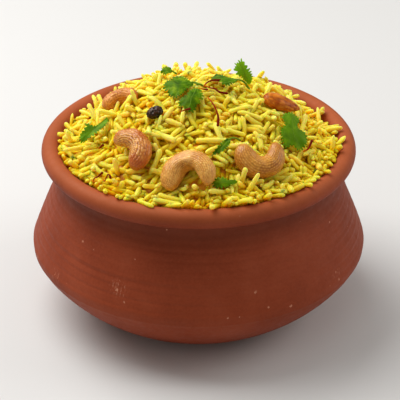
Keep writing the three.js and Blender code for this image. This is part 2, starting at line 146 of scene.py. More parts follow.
# ---- materials ----
class Shader:
    """A material of one Principled shader, with short calls for the nodes that feed it."""

    def __init__(self, name, **sockets):
        self.material = bpy.data.materials.new(name)
        self.material.use_nodes = True
        self.tree = self.material.node_tree
        self.principled = self.tree.nodes["Principled BSDF"]
        for key, value in sockets.items():
            self.principled.inputs[key.replace("_", " ")].default_value = value
        coords = self.tree.nodes.new("ShaderNodeTexCoord")
        self.place = coords.outputs["Object"]

    def node(self, kind, inputs=None, **settings):
        """A new node; each input is a value, or the output of another node."""
        made = self.tree.nodes.new(kind)
        for key, value in settings.items():
            setattr(made, key, value)
        for key, value in (inputs or {}).items():
            if isinstance(value, bpy.types.NodeSocket):
                self.tree.links.new(value, made.inputs[key])
            else:
                made.inputs[key].default_value = value
        return made

    def noise(self, size_mm, detail=4.0, stretch=None):
        """Noise whose blobs are about size_mm across."""
        place = self.place
        if stretch:
            scaled = self.node("ShaderNodeMapping", {"Vector": place, "Scale": stretch})
            place = scaled.outputs["Vector"]
        sockets = {"Vector": place, "Scale": 1 / (size_mm * MM), "Detail": detail, "Roughness": 0.55}
        return self.node("ShaderNodeTexNoise", sockets).outputs["Fac"]

    def value(self, name):
        """A number that the mesh holds at each point."""
        return self.node("ShaderNodeAttribute", attribute_name=name).outputs["Fac"]

    def ramp(self, factor, *stops):
        """Colours along a factor; each stop is a position and an sRGB colour in 0 to 255."""
        made = self.node("ShaderNodeValToRGB", {"Fac": factor})
        band = made.color_ramp
        while len(band.elements) < len(stops):
            band.elements.new(0.5)
        for element, (position, colour) in zip(band.elements, stops):
            element.position = position
            element.color = srgb(*colour)
        return made.outputs["Color"]

    def span(self, value, low, high, to_low=0.0, to_high=1.0):
        """The value, from between low and high to between to_low and to_high."""
        sockets = {0: value, 1: low, 2: high, 3: to_low, 4: to_high}
        return self.node("ShaderNodeMapRange", sockets).outputs["Result"]

    def away_from(self, point_mm):
        """Distance in mm from a point of the object."""
        here = tuple(c * MM for c in point_mm)
        sockets = {0: self.place, 1: here}
        gap = self.node("ShaderNodeVectorMath", sockets, operation="DISTANCE")
        return self.times(gap.outputs["Value"], 1 / MM)

    def mix(self, factor, first, second):
        """A blend of two colours."""
        return self.node("ShaderNodeMix", {0: factor, 6: first, 7: second}, data_type="RGBA").outputs[2]

    def maths(self, operation, first, second):
        return self.node("ShaderNodeMath", {0: first, 1: second}, operation=operation).outputs[0]

    def times(self, first, second):
        return self.maths("MULTIPLY", first, second)

    def plus(self, first, second):
        return self.maths("ADD", first, second)

    def larger(self, first, second):
        return self.maths("MAXIMUM", first, second)

    def bump(self, height, depth_mm, strength, under=None):
        """A normal bent by a height, on top of the normal under it if there is one."""
        sockets = {"Height": height, "Distance": depth_mm * MM, "Strength": strength}
        if under is not None:
            sockets["Normal"] = under
        return self.node("ShaderNodeBump", sockets).outputs["Normal"]

    def feed(self, socket, value):
        """Joins a value to a socket of the Principled shader."""
        self.tree.links.new(value, self.principled.inputs[socket])


def srgb(red, green, blue):
    """A colour of 0 to 255 as Blender's linear one."""

    def linear(level):
        level /= 255
        return level / 12.92 if level <= 0.04045 else ((level + 0.055) / 1.055) ** 2.4

    return (linear(red), linear(green), linear(blue), 1.0)


# Chips and scuffs in the wall: the middle of each, and its size across.
CHIPS = [
    ((-36.3, -65.4, 42.4), 1.5), ((-33.1, -68.7, 38.3), 1.2), ((-51.9, -46.0, 56.1), 1.3),
    ((-46.9, -51.6, 55.2), 1.1), ((-28.1, -63.0, 57.0), 0.8), ((-74.4, -22.0, 33.9), 1.2),
    ((25.4, -69.7, 44.1), 1.4), ((31.3, -70.3, 36.4), 1.1), ((41.4, -65.6, 34.2), 1.3),
    ((13.1, -76.4, 34.7), 1.0), ((64.0, -43.6, 34.9), 1.3), ((59.7, -33.1, 58.8), 1.0),
]
SCUFFS = [((-35.5, -65.4, 43.6), 10.0), ((-65.0, -42.0, 36.0), 8.0), ((63.2, -43.3, 37.2), 7.0)]
SPECK_SPACING = 4.6


def pale_marks(m):
    """Share of pale clay laid bare by the chips, the scuffs and sparse lime specks all over."""
    wander = m.noise(0.8, detail=3)
    pale = 0.0
    for middle, across in CHIPS:
        ragged = m.plus(m.away_from(middle), m.span(wander, 0.3, 0.7, -0.3 * across, 0.3 * across))
        pale = m.larger(pale, m.span(ragged, 0.3 * across, 0.5 * across, 1.0, 0.0))
    streaks = m.span(m.noise(0.7, detail=3, stretch=(1, 1, 0.1)), 0.56, 0.7)
    for middle, across in SCUFFS:
        inside = m.span(m.away_from(middle), 0.25 * across, 0.55 * across, 0.9, 0.0)
        pale = m.larger(pale, m.times(streaks, inside))
    cells = m.node("ShaderNodeTexVoronoi", {"Vector": m.place, "Scale": 1 / (SPECK_SPACING * MM)})
    edge = m.plus(cells.outputs["Distance"], m.span(wander, 0.3, 0.7, -0.05, 0.05))
    pick = m.node("ShaderNodeSeparateColor", {"Color": cells.outputs["Color"]})
    chosen = m.span(pick.outputs["Red"], 0.95, 0.96)
    return m.larger(pale, m.times(m.span(edge, 0.04, 0.1, 1.0, 0.0), chosen))


def clay_material():
    """Fired clay: cloudy brown, with a painted sheen on the lip and painted shade under it, chipped and
    specked with lime.
    """
    m = Shader("fired_clay", Roughness=0.6, Specular_IOR_Level=0.26, Specular_Tint=(1.0, 0.7, 0.5, 1.0))
    cloud = m.noise(26, detail=5)
    base = m.ramp(cloud, (0.3, (128, 50, 25)), (0.52, (142, 59, 32)), (0.75, (152, 69, 42)))
    grain = m.noise(1.1, detail=6)
    mottle = m.ramp(grain, (0.35, (112, 44, 22)), (0.6, (160, 74, 44)))
    colour = m.mix(0.14, base, mottle)
    # The lip's crest is painted paler than the wall: a painted sheen.
    place = m.node("ShaderNodeSeparateXYZ", {"Vector": m.place})
    lip_sheen = m.span(place.outputs["Z"], (LIP_Z - 1) * MM, (LIP_Z + 4) * MM, 0.0, 0.4)
    colour = m.mix(lip_sheen, colour, srgb(196, 108, 60))
    # Painted shade darkens the groove under the lip, where the lip's shadow falls.
    above_foot = m.span(place.outputs["Z"], (NECK_Z - 9) * MM, NECK_Z * MM, 0.0, 0.45)
    below_lip = m.span(place.outputs["Z"], (LIP_Z - 4.5) * MM, (LIP_Z - 2) * MM, 1.0, 0.0)
    neck_shade = m.times(above_foot, below_lip)
    colour = m.mix(neck_shade, colour, srgb(70, 22, 10))
    pale = pale_marks(m)
    m.feed("Base Color", m.mix(m.times(pale, 0.72), colour, srgb(206, 142, 112)))
    m.feed("Roughness", m.span(m.noise(3, detail=4), 0.3, 0.7, 0.56, 0.72))
    fine = m.bump(m.noise(0.45, detail=3), 0.05, 0.6)
    rings = m.noise(3.4, detail=3, stretch=(0.04, 0.04, 1))
    thrown = m.bump(rings, 0.25, 0.22, under=fine)
    m.feed("Normal", m.bump(pale, 0.25, -0.6, under=thrown))
    return m.material


def rice_material(name, shades, tip):
    """Cooked rice: lemon yellow, with painted shade in gold deep in the heap and on each grain's
    underside, and painted highlight pale at the tips and on top; moist.
    """
    m = Shader(
        name,
        Specular_IOR_Level=0.2,
        Specular_Tint=(1.0, 0.95, 0.65, 1.0),
        Subsurface_Weight=1.0,
        Subsurface_Radius=(1.0, 0.62, 0.12),
        Subsurface_Scale=4.0 * MM,
    )
    tint = m.ramp(m.value("tint"), *zip((0.0, 0.5, 1.0), shades))
    mottle = m.ramp(m.noise(2.2, detail=3), (0.35, (240, 194, 4)), (0.65, (250, 230, 66)))
    colour = m.mix(0.25, tint, mottle)
    height = m.value("height")
    # Painted shade: gold on a grain's underside, and deep between the grains.
    under = m.times(m.span(m.value("upside"), -0.8, 0.3, 0.8, 0.0), m.span(height, 2.5, 0.0))
    golden = m.larger(under, m.span(height, -4.6, -1.2, 0.95, 0.0))
    colour = m.mix(golden, colour, srgb(255, 180, 0))
    # Painted highlight: pale at the tips of grains near the top, and on the highest grains.
    tips = m.times(m.span(m.value("tip"), 0.7, 1.0, 0.0, 0.3), m.span(height, -3.0, -0.5))
    pale = m.larger(tips, m.span(height, -1.8, 1.6, 0.0, 0.5))
    colour = m.mix(pale, colour, srgb(*tip))
    m.feed("Base Color", colour)
    m.feed("Roughness", m.span(m.noise(1.1, detail=3), 0.35, 0.65, 0.4, 0.62))
    m.feed("Normal", m.bump(m.noise(0.6, detail=3), 0.06, 0.35))
    return m.material


def bed_material():
    """The rice that shows between the loose grains: a deeper gold, painted as the shade between them."""
    m = Shader(
        "rice_bed",
        Roughness=0.5,
        Subsurface_Weight=0.2,
        Subsurface_Radius=(1.0, 0.6, 0.15),
        Subsurface_Scale=1.5 * MM,
    )
    colour = m.ramp(m.noise(3, detail=4), (0.35, (216, 134, 0)), (0.65, (240, 176, 4)))
    m.feed("Base Color", colour)
    m.feed("Normal", m.bump(m.noise(1.6, detail=3), 0.8, 0.8))
    return m.material


def nut_material(name, valley, body, crown, roughness=0.36, gloss=1.0, painted_shade_weight=0.0):
    """Fried nut: painted shade in its furrows and painted highlight on its ridges, with slow patches of
    browning and, by weight, painted shade on its outer side.
    """
    m = Shader(
        name,
        Roughness=roughness,
        Specular_IOR_Level=0.42 * gloss,
        Specular_Tint=(1.0, 0.86, 0.6, 1.0),
        Subsurface_Weight=0.25,
        Subsurface_Radius=(1.0, 0.5, 0.15),
        Subsurface_Scale=1.4 * MM,
        Coat_Weight=0.3 * gloss,
        Coat_Roughness=0.24,
    )
    # The furrows are painted darker as shade, and the ridges paler as highlight.
    relief = m.plus(m.value("relief"), m.span(m.noise(1.6, detail=4), 0.3, 0.7, -0.16, 0.16))
    colour = m.ramp(relief, (0.06, valley), (0.46, body), (0.9, crown))
    patches = m.ramp(m.noise(6, detail=4), (0.38, valley), (0.6, crown))
    colour = m.mix(0.3, colour, patches)
    # Painted shade, a deeper brown, on the outer side of the bend and at one end, by the weight given.
    painted_shade = m.times(m.value("painted_shade"), painted_shade_weight)
    m.feed("Base Color", m.mix(painted_shade, colour, srgb(182, 76, 0)))
    m.feed("Roughness", m.span(m.noise(0.8, detail=3), 0.3, 0.7, roughness - 0.06, roughness + 0.14))
    m.feed("Normal", m.bump(m.noise(0.55, detail=4), 0.09, 0.7))
    return m.material


def raisin_material():
    """Raisin: brown, with painted shade near black in its folds, shining."""
    m = Shader(
        "raisin_skin",
        Roughness=0.34,
        Specular_IOR_Level=0.3,
        Specular_Tint=(1.0, 0.66, 0.44, 1.0),
        Coat_Weight=0.3,
        Coat_Roughness=0.08,
    )
    # Painted shade: near black in the folds, brown on them.
    m.feed("Base Color", m.ramp(m.value("relief"), (0.2, (6, 2, 0)), (0.8, (56, 24, 2))))
    m.feed("Normal", m.bump(m.noise(0.6, detail=3), 0.16, 0.8))
    return m.material


def leaf_material():
    """Coriander: green, paler along its veins, with a paler green painted as light and sheen on some
    blades.
    """
    m = Shader(
        "coriander_leaf",
        Roughness=0.46,
        Specular_IOR_Level=0.14,
        Specular_Tint=(0.8, 1.0, 0.3, 1.0),
        Subsurface_Weight=0.3,
        Subsurface_Radius=(0.6, 1.0, 0.1),
        Subsurface_Scale=0.8 * MM,
    )
    green = m.ramp(m.noise(4, detail=4), (0.35, (50, 88, 0)), (0.55, (78, 118, 0)), (0.74, (134, 160, 6)))
    # Painted light: a paler green on some blades, for the light and sheen on them.
    green = m.mix(m.value("young"), green, srgb(126, 176, 24))
    vein = m.span(m.value("vein"), 0.2, 0.9, 0.0, 0.65)
    m.feed("Base Color", m.mix(vein, green, srgb(122, 152, 40)))
    veins_in = m.bump(m.value("vein"), 0.25, -0.8)
    m.feed("Normal", m.bump(m.noise(0.8, detail=3), 0.14, 0.6, under=veins_in))
    return m.material


def saffron_material():
    """Saffron: orange at a thread's thin end, dark red at its thick one."""
    m = Shader("saffron_thread", Roughness=0.7, Specular_IOR_Level=0.08)
    red = m.ramp(m.value("along"), (0.0, (214, 96, 0)), (0.3, (150, 34, 0)), (0.7, (110, 14, 0)))
    m.feed("Base Color", red)
    m.feed("Normal", m.bump(m.noise(0.35, detail=2), 0.06, 0.5))
    return m.material


# ---- the handi ----
def bezier(start, handle1, handle2, end, steps):
    """Points along a Bezier curve, without its start."""
    t = np.linspace(0, 1, steps + 1)[1:, None]
    start, handle1, handle2, end = (np.asarray(p, float) for p in (start, handle1, handle2, end))
    near_start = (1 - t) ** 3 * start + 3 * (1 - t) ** 2 * t * handle1
    return near_start + 3 * (1 - t) * t**2 * handle2 + t**3 * end


def on_lip(degrees):
    """Points of the lip's round section: 0 degrees is outwards and 90 is up."""
    a = np.radians(np.atleast_1d(degrees))
    return np.stack([LIP_MID_R + LIP_ROLL * np.cos(a), LIP_Z + LIP_ROLL * np.sin(a)], -1)


def outer_wall():
    """The outside as (radius, height), from the foot's underside up to the lip."""
    foot_edge = (FOOT_R, 1.0)
    under_belly = (BELLY_R - 1.1, BELLY_Z - 3.6)
    over_belly = (BELLY_R - 0.7, BELLY_Z + 4)
    shoulder_top = (NECK_R + 2, NECK_Z - 6.2)
    under_lip = on_lip(-112)[0]
    return np.vstack(
        [
            [(FOOT_R * 0.5, 0), (FOOT_R - 3, 0), (FOOT_R - 1.2, 0.12), (FOOT_R - 0.3, 0.5), foot_edge],
            bezier(foot_edge, (58.5, 8), (71, 19.5), under_belly, 22),
            bezier(under_belly, (78, 31.6), (78, 34.2), over_belly, 12),
            bezier(over_belly, (74.2, 44.5), (70.2, 54), shoulder_top, 60),
            bezier(shoulder_top, (64.4, 67.6), (64, 72), under_lip, 14),
        ]
    )


def inner_wall():
    """The inside as (radius, height), from the lip down to the floor."""
    start = (LIP_MID_R - LIP_ROLL, LIP_Z)
    neck = (NECK_R - WALL, NECK_Z)
    belly = (BELLY_R - WALL, BELLY_Z + 1)
    floor_edge = (FOOT_R - 8, FLOOR)
    return np.vstack(
        [
            [start],
            bezier(start, (start[0] - 0.6, LIP_Z - 5), (neck[0], neck[1] + 5), neck, 8),
            bezier(neck, (neck[0], 61), (belly[0], 47), belly, 8),
            bezier(belly, (belly[0], 21), (58, FLOOR), floor_edge, 8),
        ]
    )


def make_handi(material):
    """The pot: its profile turned about the axis."""
    inside = inner_wall()
    profile = np.vstack([outer_wall(), on_lip(np.linspace(-98, 168, 26)), inside])
    angle = turns_of(240)
    r, z = profile[:, :1], profile[:, 1:]
    outside = (np.arange(len(profile)) < len(profile) - len(inside))[:, None]
    # Thrown by hand: a little out of round, the lip a little uneven, faint rings up the wall.
    high = np.clip((z - 20) / 60, 0, 1)
    round_error = 0.22 * np.sin(2 * angle + 0.7) + 0.12 * np.sin(3 * angle + 2.1)
    drift = 0.5 * np.sin(angle + 1.0) + 0.3 * np.sin(2 * angle)
    rings = 0.09 * np.sin(z * 1.7 + drift) + 0.06 * np.sin(z * 3.1 - 1.4 * drift)
    wall_only = np.clip((z - 6) / 10, 0, 1) * np.clip((74 - z) / 6, 0, 1) * outside
    # One deeper line left by a finger, strongest at the front left.
    line_z = GROOVE_Z + 0.5 * np.sin(angle + 0.4)
    front_left = 0.35 + 0.65 * bell(angle - math.radians(238), 0.6)
    line = -0.4 * bell(z - line_z, 0.7) * front_left
    radius = r + round_error * high + (rings + line) * wall_only
    height = z + 0.22 * np.sin(2 * angle - 0.6) * high**2
    rings = np.stack([radius * np.cos(angle), radius * np.sin(angle), height], -1)
    points, faces = skin(rings, (0, 0, 0), (0, 0, FLOOR))
    add_piece("handi", points, faces, material, "clay", ["pot"])


# ---- the heap's bare surface ----
def swell(x, y, cx, cy, width):
    """A round hump of height 1 in the middle, at (cx, cy)."""
    return np.exp(-((x - cx) ** 2 + (y - cy) ** 2) / (2 * width * width))


def heap_z(x, y):
    """Height of the bare core: a mound with slow lumps and three local swells."""
    t = np.minimum(1, np.hypot(x, y) / HEAP_R)
    lumps = (
        0.8 * np.sin(0.1 * x + 1.3) * np.cos(0.12 * y - 0.4)
        + 0.5 * np.sin(0.21 * x - 0.17 * y + 0.7)
        + 1.6 * swell(x, y, 50, 12, 11)
        + 1.1 * swell(x, y, -17, 6, 8)
        - 0.6 * swell(x, y, 24, 4, 9)
    )
    return HEAP_EDGE_Z + HEAP_HEIGHT * (1 - t**HEAP_FULLNESS) + lumps * (1 - t**4)


def by_rim(x, y):
    """How near the rim a place is: 0 over the middle of the heap, 1 at its edge."""
    near = np.clip((np.hypot(x, y) - RIM_START_R) / RIM_WIDTH, 0, 1)
    return near * near * (3 - 2 * near)


def bed_z(x, y):
    """Height of the bed: loose grains lie on it, deeper in the middle than by the rim."""
    rim = by_rim(x, y)
    depth = BED_DEPTH * (1 - rim) + RIM_BED_DEPTH * rim
    at_back = np.clip((y + 4) / 26, 0, 1)
    lifted = 1.0 * swell(x, y, -4, -16, 13) - 1.8 * swell(x, y, -34, 28, 14)
    lowered = BACK_BED_DEPTH * rim * at_back
    return heap_z(x, y) - depth - lowered + lifted - 1.2 * swell(x, y, 60, 4, 8)


def heap_normals(x, y):
    """The heap's normals at arrays of places, from its slope over a short step to both sides."""
    step = SLOPE_STEP
    slope_x = (heap_z(x + step, y) - heap_z(x - step, y)) / (2 * step)
    slope_y = (heap_z(x, y + step) - heap_z(x, y - step)) / (2 * step)
    return unit(np.stack([-slope_x, -slope_y, np.ones_like(slope_x)], -1))


def normal_at(x, y):
    """The heap's normal at one place."""
    return heap_normals(np.float64(x), np.float64(y))


def over_heap(x, y, lift):
    """The point a height lift above the bare heap, measured along its normal."""
    return np.array([x, y, heap_z(x, y)]) + normal_at(x, y) * lift


def seat(points, x, y, lift, heading, pitch=0.0, roll=0.0):
    """Points of a topping's own frame laid on the heap: turned by heading, pitched, rolled."""
    normal = normal_at(x, y)
    slope_x = -normal[0] / normal[2]
    u = np.array([1, 0, slope_x]) / math.hypot(1, slope_x)
    v = np.cross(normal, u)
    h, p, r = (math.radians(a) for a in (heading, -pitch, roll))
    turn = np.array([[math.cos(h), -math.sin(h), 0], [math.sin(h), math.cos(h), 0], [0, 0, 1]])
    tilt = np.array([[math.cos(p), 0, math.sin(p)], [0, 1, 0], [-math.sin(p), 0, math.cos(p)]])
    lean = np.array([[1, 0, 0], [0, math.cos(r), -math.sin(r)], [0, math.sin(r), math.cos(r)]])
    basis = np.stack([u, v, normal], -1) @ turn @ tilt @ lean
    return np.asarray(points) @ basis.T + over_heap(x, y, lift)


# ---- nuts and raisin ----
# Of each cashew: "form" is the kidney in mm, its sweep in degrees. "place" is x, y, the height over
# the heap, and the degrees it is turned, pitched and rolled. "skin" is its ridges and beads. "look"
# is its material's name, its colours from valley to crown (painted shade in the furrows to painted
# highlight on the ridges), and its roughness, gloss and weight of painted shade on its outer side.
NUTS = {
    "cashew_left": {
        "form": {"bend": 7.25, "girth": 5.15, "sweep": 202, "taper": 0.11, "hollow": 0.02},
        "place": (-29.7, -36.1, 3.5, 193.6, 7.1, -3.8),
        "skin": {"lines": 24, "ridges": 0.3, "pebbles": 0.16, "seed": 3.0},
        "slot": "cashew_brown",
        "look": ("cashew_roasted", (96, 30, 0), (222, 132, 32), (255, 206, 106), 0.3, 1.2, 0.85),
    },
    "cashew_centre": {
        "form": {"bend": 7.9, "girth": 5.6, "sweep": 232, "taper": -0.12, "hollow": 0.4},
        "place": (-3.9, -51.2, 3.9, -90.3, 7.6, 13.7),
        "skin": {"lines": 30, "ridges": 0.24, "pebbles": 0.08, "seed": 7.0},
        "slot": "cashew_pale",
        "look": ("cashew_pale", (166, 88, 12), (220, 146, 48), (246, 194, 104)),
    },
    "cashew_right": {
        "form": {"bend": 7.15, "girth": 5.55, "sweep": 234, "taper": 0.12, "hollow": 0.05},
        "place": (26.4, -38.9, 3.4, 114, 9.8, -2.9),
        "skin": {"lines": 30, "ridges": 0.22, "pebbles": 0.07, "seed": 11.0},
        "slot": "cashew_pale",
        "look": ("cashew_golden", (146, 76, 6), (198, 126, 32), (232, 168, 72)),
    },
    "cashew_back": {
        "form": {"bend": 7.65, "girth": 3.95, "sweep": 149, "taper": -0.17, "hollow": 0.19},
        "place": (-35.9, 0.4, 0.2, -100, -4.5, -7.7),
        "skin": {"lines": 18, "ridges": 0.2, "pebbles": 0.14, "seed": 15.0},
        "slot": "cashew_brown",
        "look": ("cashew_orange", (150, 68, 6), (210, 124, 36), (240, 172, 80), 0.36, 1.0, 0.4),
    },
}
BEAD_PITCH = 1.15  # from one bead of a cashew's skin to the next, along it
ALMOND = {"length": 18.6, "width": 9.0, "thickness": 6.6}
ALMOND_PLACE = (36.9, -2.5, 2.1, 8.6, 7.8, 1.9)
RAISIN = {"length": 7.6, "width": 6.0, "height": 5.0}
RAISIN_PLACE = (-18.8, -21.8, 2.4, 10)


def ring_shares(rings):
    """Shares of the length between the tips, closest together near them."""
    return 0.5 - 0.5 * np.cos(np.pi * (np.arange(rings) + 1) / (rings + 1))


def cashew_relief(run, around, lines, ridges, pebbles, seed):
    """Height of a cashew's skin at mm along it and angles round it, and its slow swells."""
    over, wide = 4 * np.cos(around), 4 * np.sin(around)
    slow = ripples(grid_points(run, over, wide), 5.0, 2, seed + 9)
    pebble = ripples(grid_points(run, over * 1.2, wide * 1.2), 1.0, 3, seed + 5)
    warp = ripples(grid_points(run * 0.7, over, wide), 1.8, 3, seed + 2)
    # Fine ridges run lengthwise, broken into short beads that lie like bricks.
    ridge = 0.5 + 0.5 * np.cos(lines * around + 1.5 * warp)
    beads = 0.5 + 0.5 * np.cos(TAU * run / BEAD_PITCH + lines / 2 * around + 1.2 * warp)
    bricks = ridge * (0.3 + 0.7 * beads) - 0.35
    return ridges * bricks * (1 + 0.8 * slow) + pebbles * pebble, slow


def cashew_points(bend, girth, sweep, taper, hollow, skin_of, rings=150, sides=130):
    """A cashew's rings and tips in its own frame, its relief, and its share of painted shade.

    It bends in the XY plane and opens towards +X.
    """
    half = math.radians(sweep / 2)
    t = ring_shares(rings)
    along = (2 * t - 1)[:, None]  # from -1 at one tip to 1 at the other
    angle = along * half
    around = turns_of(sides)[None, :]
    bulge = np.sqrt(1 - np.abs(along) ** 3.4)
    radius = girth * bulge * (1 + taper * along) * np.ones_like(around)
    relief, slow = cashew_relief(angle * bend, around, **skin_of)
    radius += (relief + 0.26 * slow) * bulge
    inner = 0.86 - hollow * bell(along, 0.45)
    inward = np.where(np.cos(around) > 0, 1, inner)
    # A shallow cleft runs along the inside of the bend.
    cleft = 1 - 0.12 * bell(around - np.pi, 0.3) * bulge
    out = radius * np.cos(around) * inward * cleft
    up = radius * np.sin(around) * 0.92
    x = bend * (0.25 - np.cos(angle)) - out * np.cos(angle)
    y = bend * np.sin(angle) + out * np.sin(angle)
    tips = []
    for sign in (-1, 1):
        a = sign * half
        tip_x = bend * (0.25 - math.cos(a)) + 0.3 * math.sin(half)
        tips.append((tip_x, bend * math.sin(a) + sign * 0.3 * math.cos(half), 0))
    # Painted shade on the outside of the bend and at one end.
    end = np.clip((t[:, None] - 0.7) / 0.3, 0, 1)
    painted_shade = np.clip(0.1 + 0.6 * np.cos(around) + 0.8 * end + 0.5 * slow, 0, 1)
    return np.stack([x, y, up], -1), tips, relief, painted_shade


def add_topping(node, piece, rings, tips, place, material, slot, **values):
    """Lays a closed shape on the heap. Each value has its rings' numbers, and its tips'."""
    points, faces = skin(rings, *tips)
    points = seat(points, *place)
    every = {key: np.append(on_rings, on_tips) for key, (on_rings, on_tips) in values.items()}
    add_piece(piece, points, faces, material, slot, [node], **every)
    return points, faces


def make_cashews():
    """Makes the cashews. Returns their solids, and the columns over them that stay clear."""
    solids, columns = [], []
    for name, nut in NUTS.items():
        form, place = nut["form"], nut["place"]
        rings, tips, relief, painted_shade = cashew_points(**form, skin_of=nut["skin"])
        depth = 1.2 * (nut["skin"]["ridges"] + nut["skin"]["pebbles"])
        values = {"relief": (relief / depth + 0.5, [0.35, 0.35]), "painted_shade": (painted_shade, [0.2, 0.9])}
        look = (nut_material(*nut["look"]), nut["slot"])
        solids.append(add_topping(name, name + "_nut", rings, tips, place, *look, **values))
        normal = normal_at(*place[:2])
        # The nut that lies half sunk has grains over it.
        if place[2] > 1:
            angle = np.radians(form["sweep"] / 2 - 18) * np.linspace(-1, 1, 9)
            middle = grid_points(form["bend"] * (0.25 - np.cos(angle)), form["bend"] * np.sin(angle), 0)
            columns.append((seat(middle, *place), np.full(9, form["girth"]), normal))
        if form["hollow"] > 0.3:
            mouth = seat([(0.3 * form["bend"], 0, 0), (0.3 * form["bend"] + 4, 0, 0)], *place)
            columns.append((mouth - 4 * normal, np.full(2, 1.4), normal))
    return solids, columns


def make_almond():
    """Makes the almond. Returns its solid, and the column over it that stays clear."""
    rings, sides = 48, 36
    t = ring_shares(rings)
    grown = (np.sin(np.pi * t**0.69) ** 0.58)[:, None]
    around = turns_of(sides)[None, :]
    x = ((t - 0.5) * ALMOND["length"])[:, None] * np.ones_like(around)
    y = grown * ALMOND["width"] / 2 * np.cos(around)
    z = grown * ALMOND["thickness"] / 2 * np.sin(around)
    relief = ripples(grid_points(x * 0.12, y * 1.6, z * 1.6), 1.1, 3, 21.0)
    scale = 1 + 0.035 * relief
    tips = [(side * ALMOND["length"] / 2, 0, 0) for side in (-1, 1)]
    shape = (grid_points(x, y * scale, z * scale), tips, ALMOND_PLACE)
    look = (nut_material("almond_skin", (104, 26, 0), (190, 86, 6), (230, 146, 40), gloss=0.4), "almond")
    solid = add_topping("almond", "almond_nut", *shape, *look, relief=(relief * 0.6 + 0.5, [0.3, 0.3]))
    middle = seat([(-4, 0, 0), (0, 0, 0), (4, 0, 0)], *ALMOND_PLACE)
    return solid, (middle, np.array([4.2, 5, 4.4]), normal_at(*ALMOND_PLACE[:2]))


def make_raisin():
    """Makes the raisin. Returns its solid, and the column over it that stays clear."""
    rings, sides = 40, 52
    polar = (np.pi * (np.arange(rings) + 1) / (rings + 1))[:, None]
    around = turns_of(sides)[None, :]
    ball = grid_points(np.cos(polar), np.sin(polar) * np.cos(around), np.sin(polar) * np.sin(around))
    shift = ripples(ball * 3, 2.2, 2, 35.0)
    relief = 1 - 2.4 * np.abs(ripples(ball * (3 + shift)[..., None], 1.9, 2, 31.0))
    half = np.array([RAISIN["length"], RAISIN["width"], RAISIN["height"]]) / 2
    shape = ball * half * (1 + 0.13 * (relief - 0.5))[..., None]
    points, faces = skin(shape, (half[0] * 0.96, 0, 0), (-half[0] * 0.96, 0, 0))
    # The rings run from +X to -X here, so the faces are turned over.
    faces = [face[::-1] for face in faces]
    points = seat(points, *RAISIN_PLACE)
    shade = np.append(relief.ravel(), [0.5, 0.5])
    add_piece("raisin_fruit", points, faces, raisin_material(), "raisin", ["raisin"], relief=shade)
    middle = seat([(-1, 0, 0), (1, 0, 0)], *RAISIN_PLACE)
    return (points, faces), (middle, np.array([3.4, 3.4]), normal_at(*RAISIN_PLACE[:2]))


# ---- the bed ----
def make_bed(material):
    """The rice under the loose grains: the heap lowered, closed below at the height of the neck."""
    steps = 40
    angle = turns_of(120)
    share = np.linspace(1, 0, steps + 1)[:-1]
    r = (HEAP_R + 0.2) * share[:, None] * np.ones_like(angle)
    x, y = r * np.cos(angle), r * np.sin(angle)
    z = bed_z(x * 0.995, y * 0.995) + 0.5 * ripples(grid_points(x, y, 0), 3.2, 2, 51.0)
    foot_r, foot_z = NECK_R - WALL - 0.4, NECK_Z - 2
    foot = grid_points(foot_r * np.cos(angle), foot_r * np.sin(angle), foot_z)
    rings = np.concatenate([foot[None], np.stack([x, y, z], -1)])
    points, faces = skin(rings, (0, 0, foot_z), (0, 0, bed_z(0.0, 0.0)))
    add_piece("rice_bed", points, faces, material, "rice", ["rice"])


# ---- coriander ----
class Blade(NamedTuple):
    """A leaf's blade. It lies in a plane of its own, and is drawn in it in mm from its middle."""

    at: tuple  # x, y and height over the heap of its middle
    faces: tuple  # the plane's normal
    stem: tuple  # where the stalk meets it
    droop: float  # how far its edge hangs
    outline: list
    fold: float = 0.0  # how steeply its halves rise from the midrib
    veins_from: tuple = None  # where the veins start, if not at the stem
    young: float = 0.0  # share of a paler green painted as light and sheen
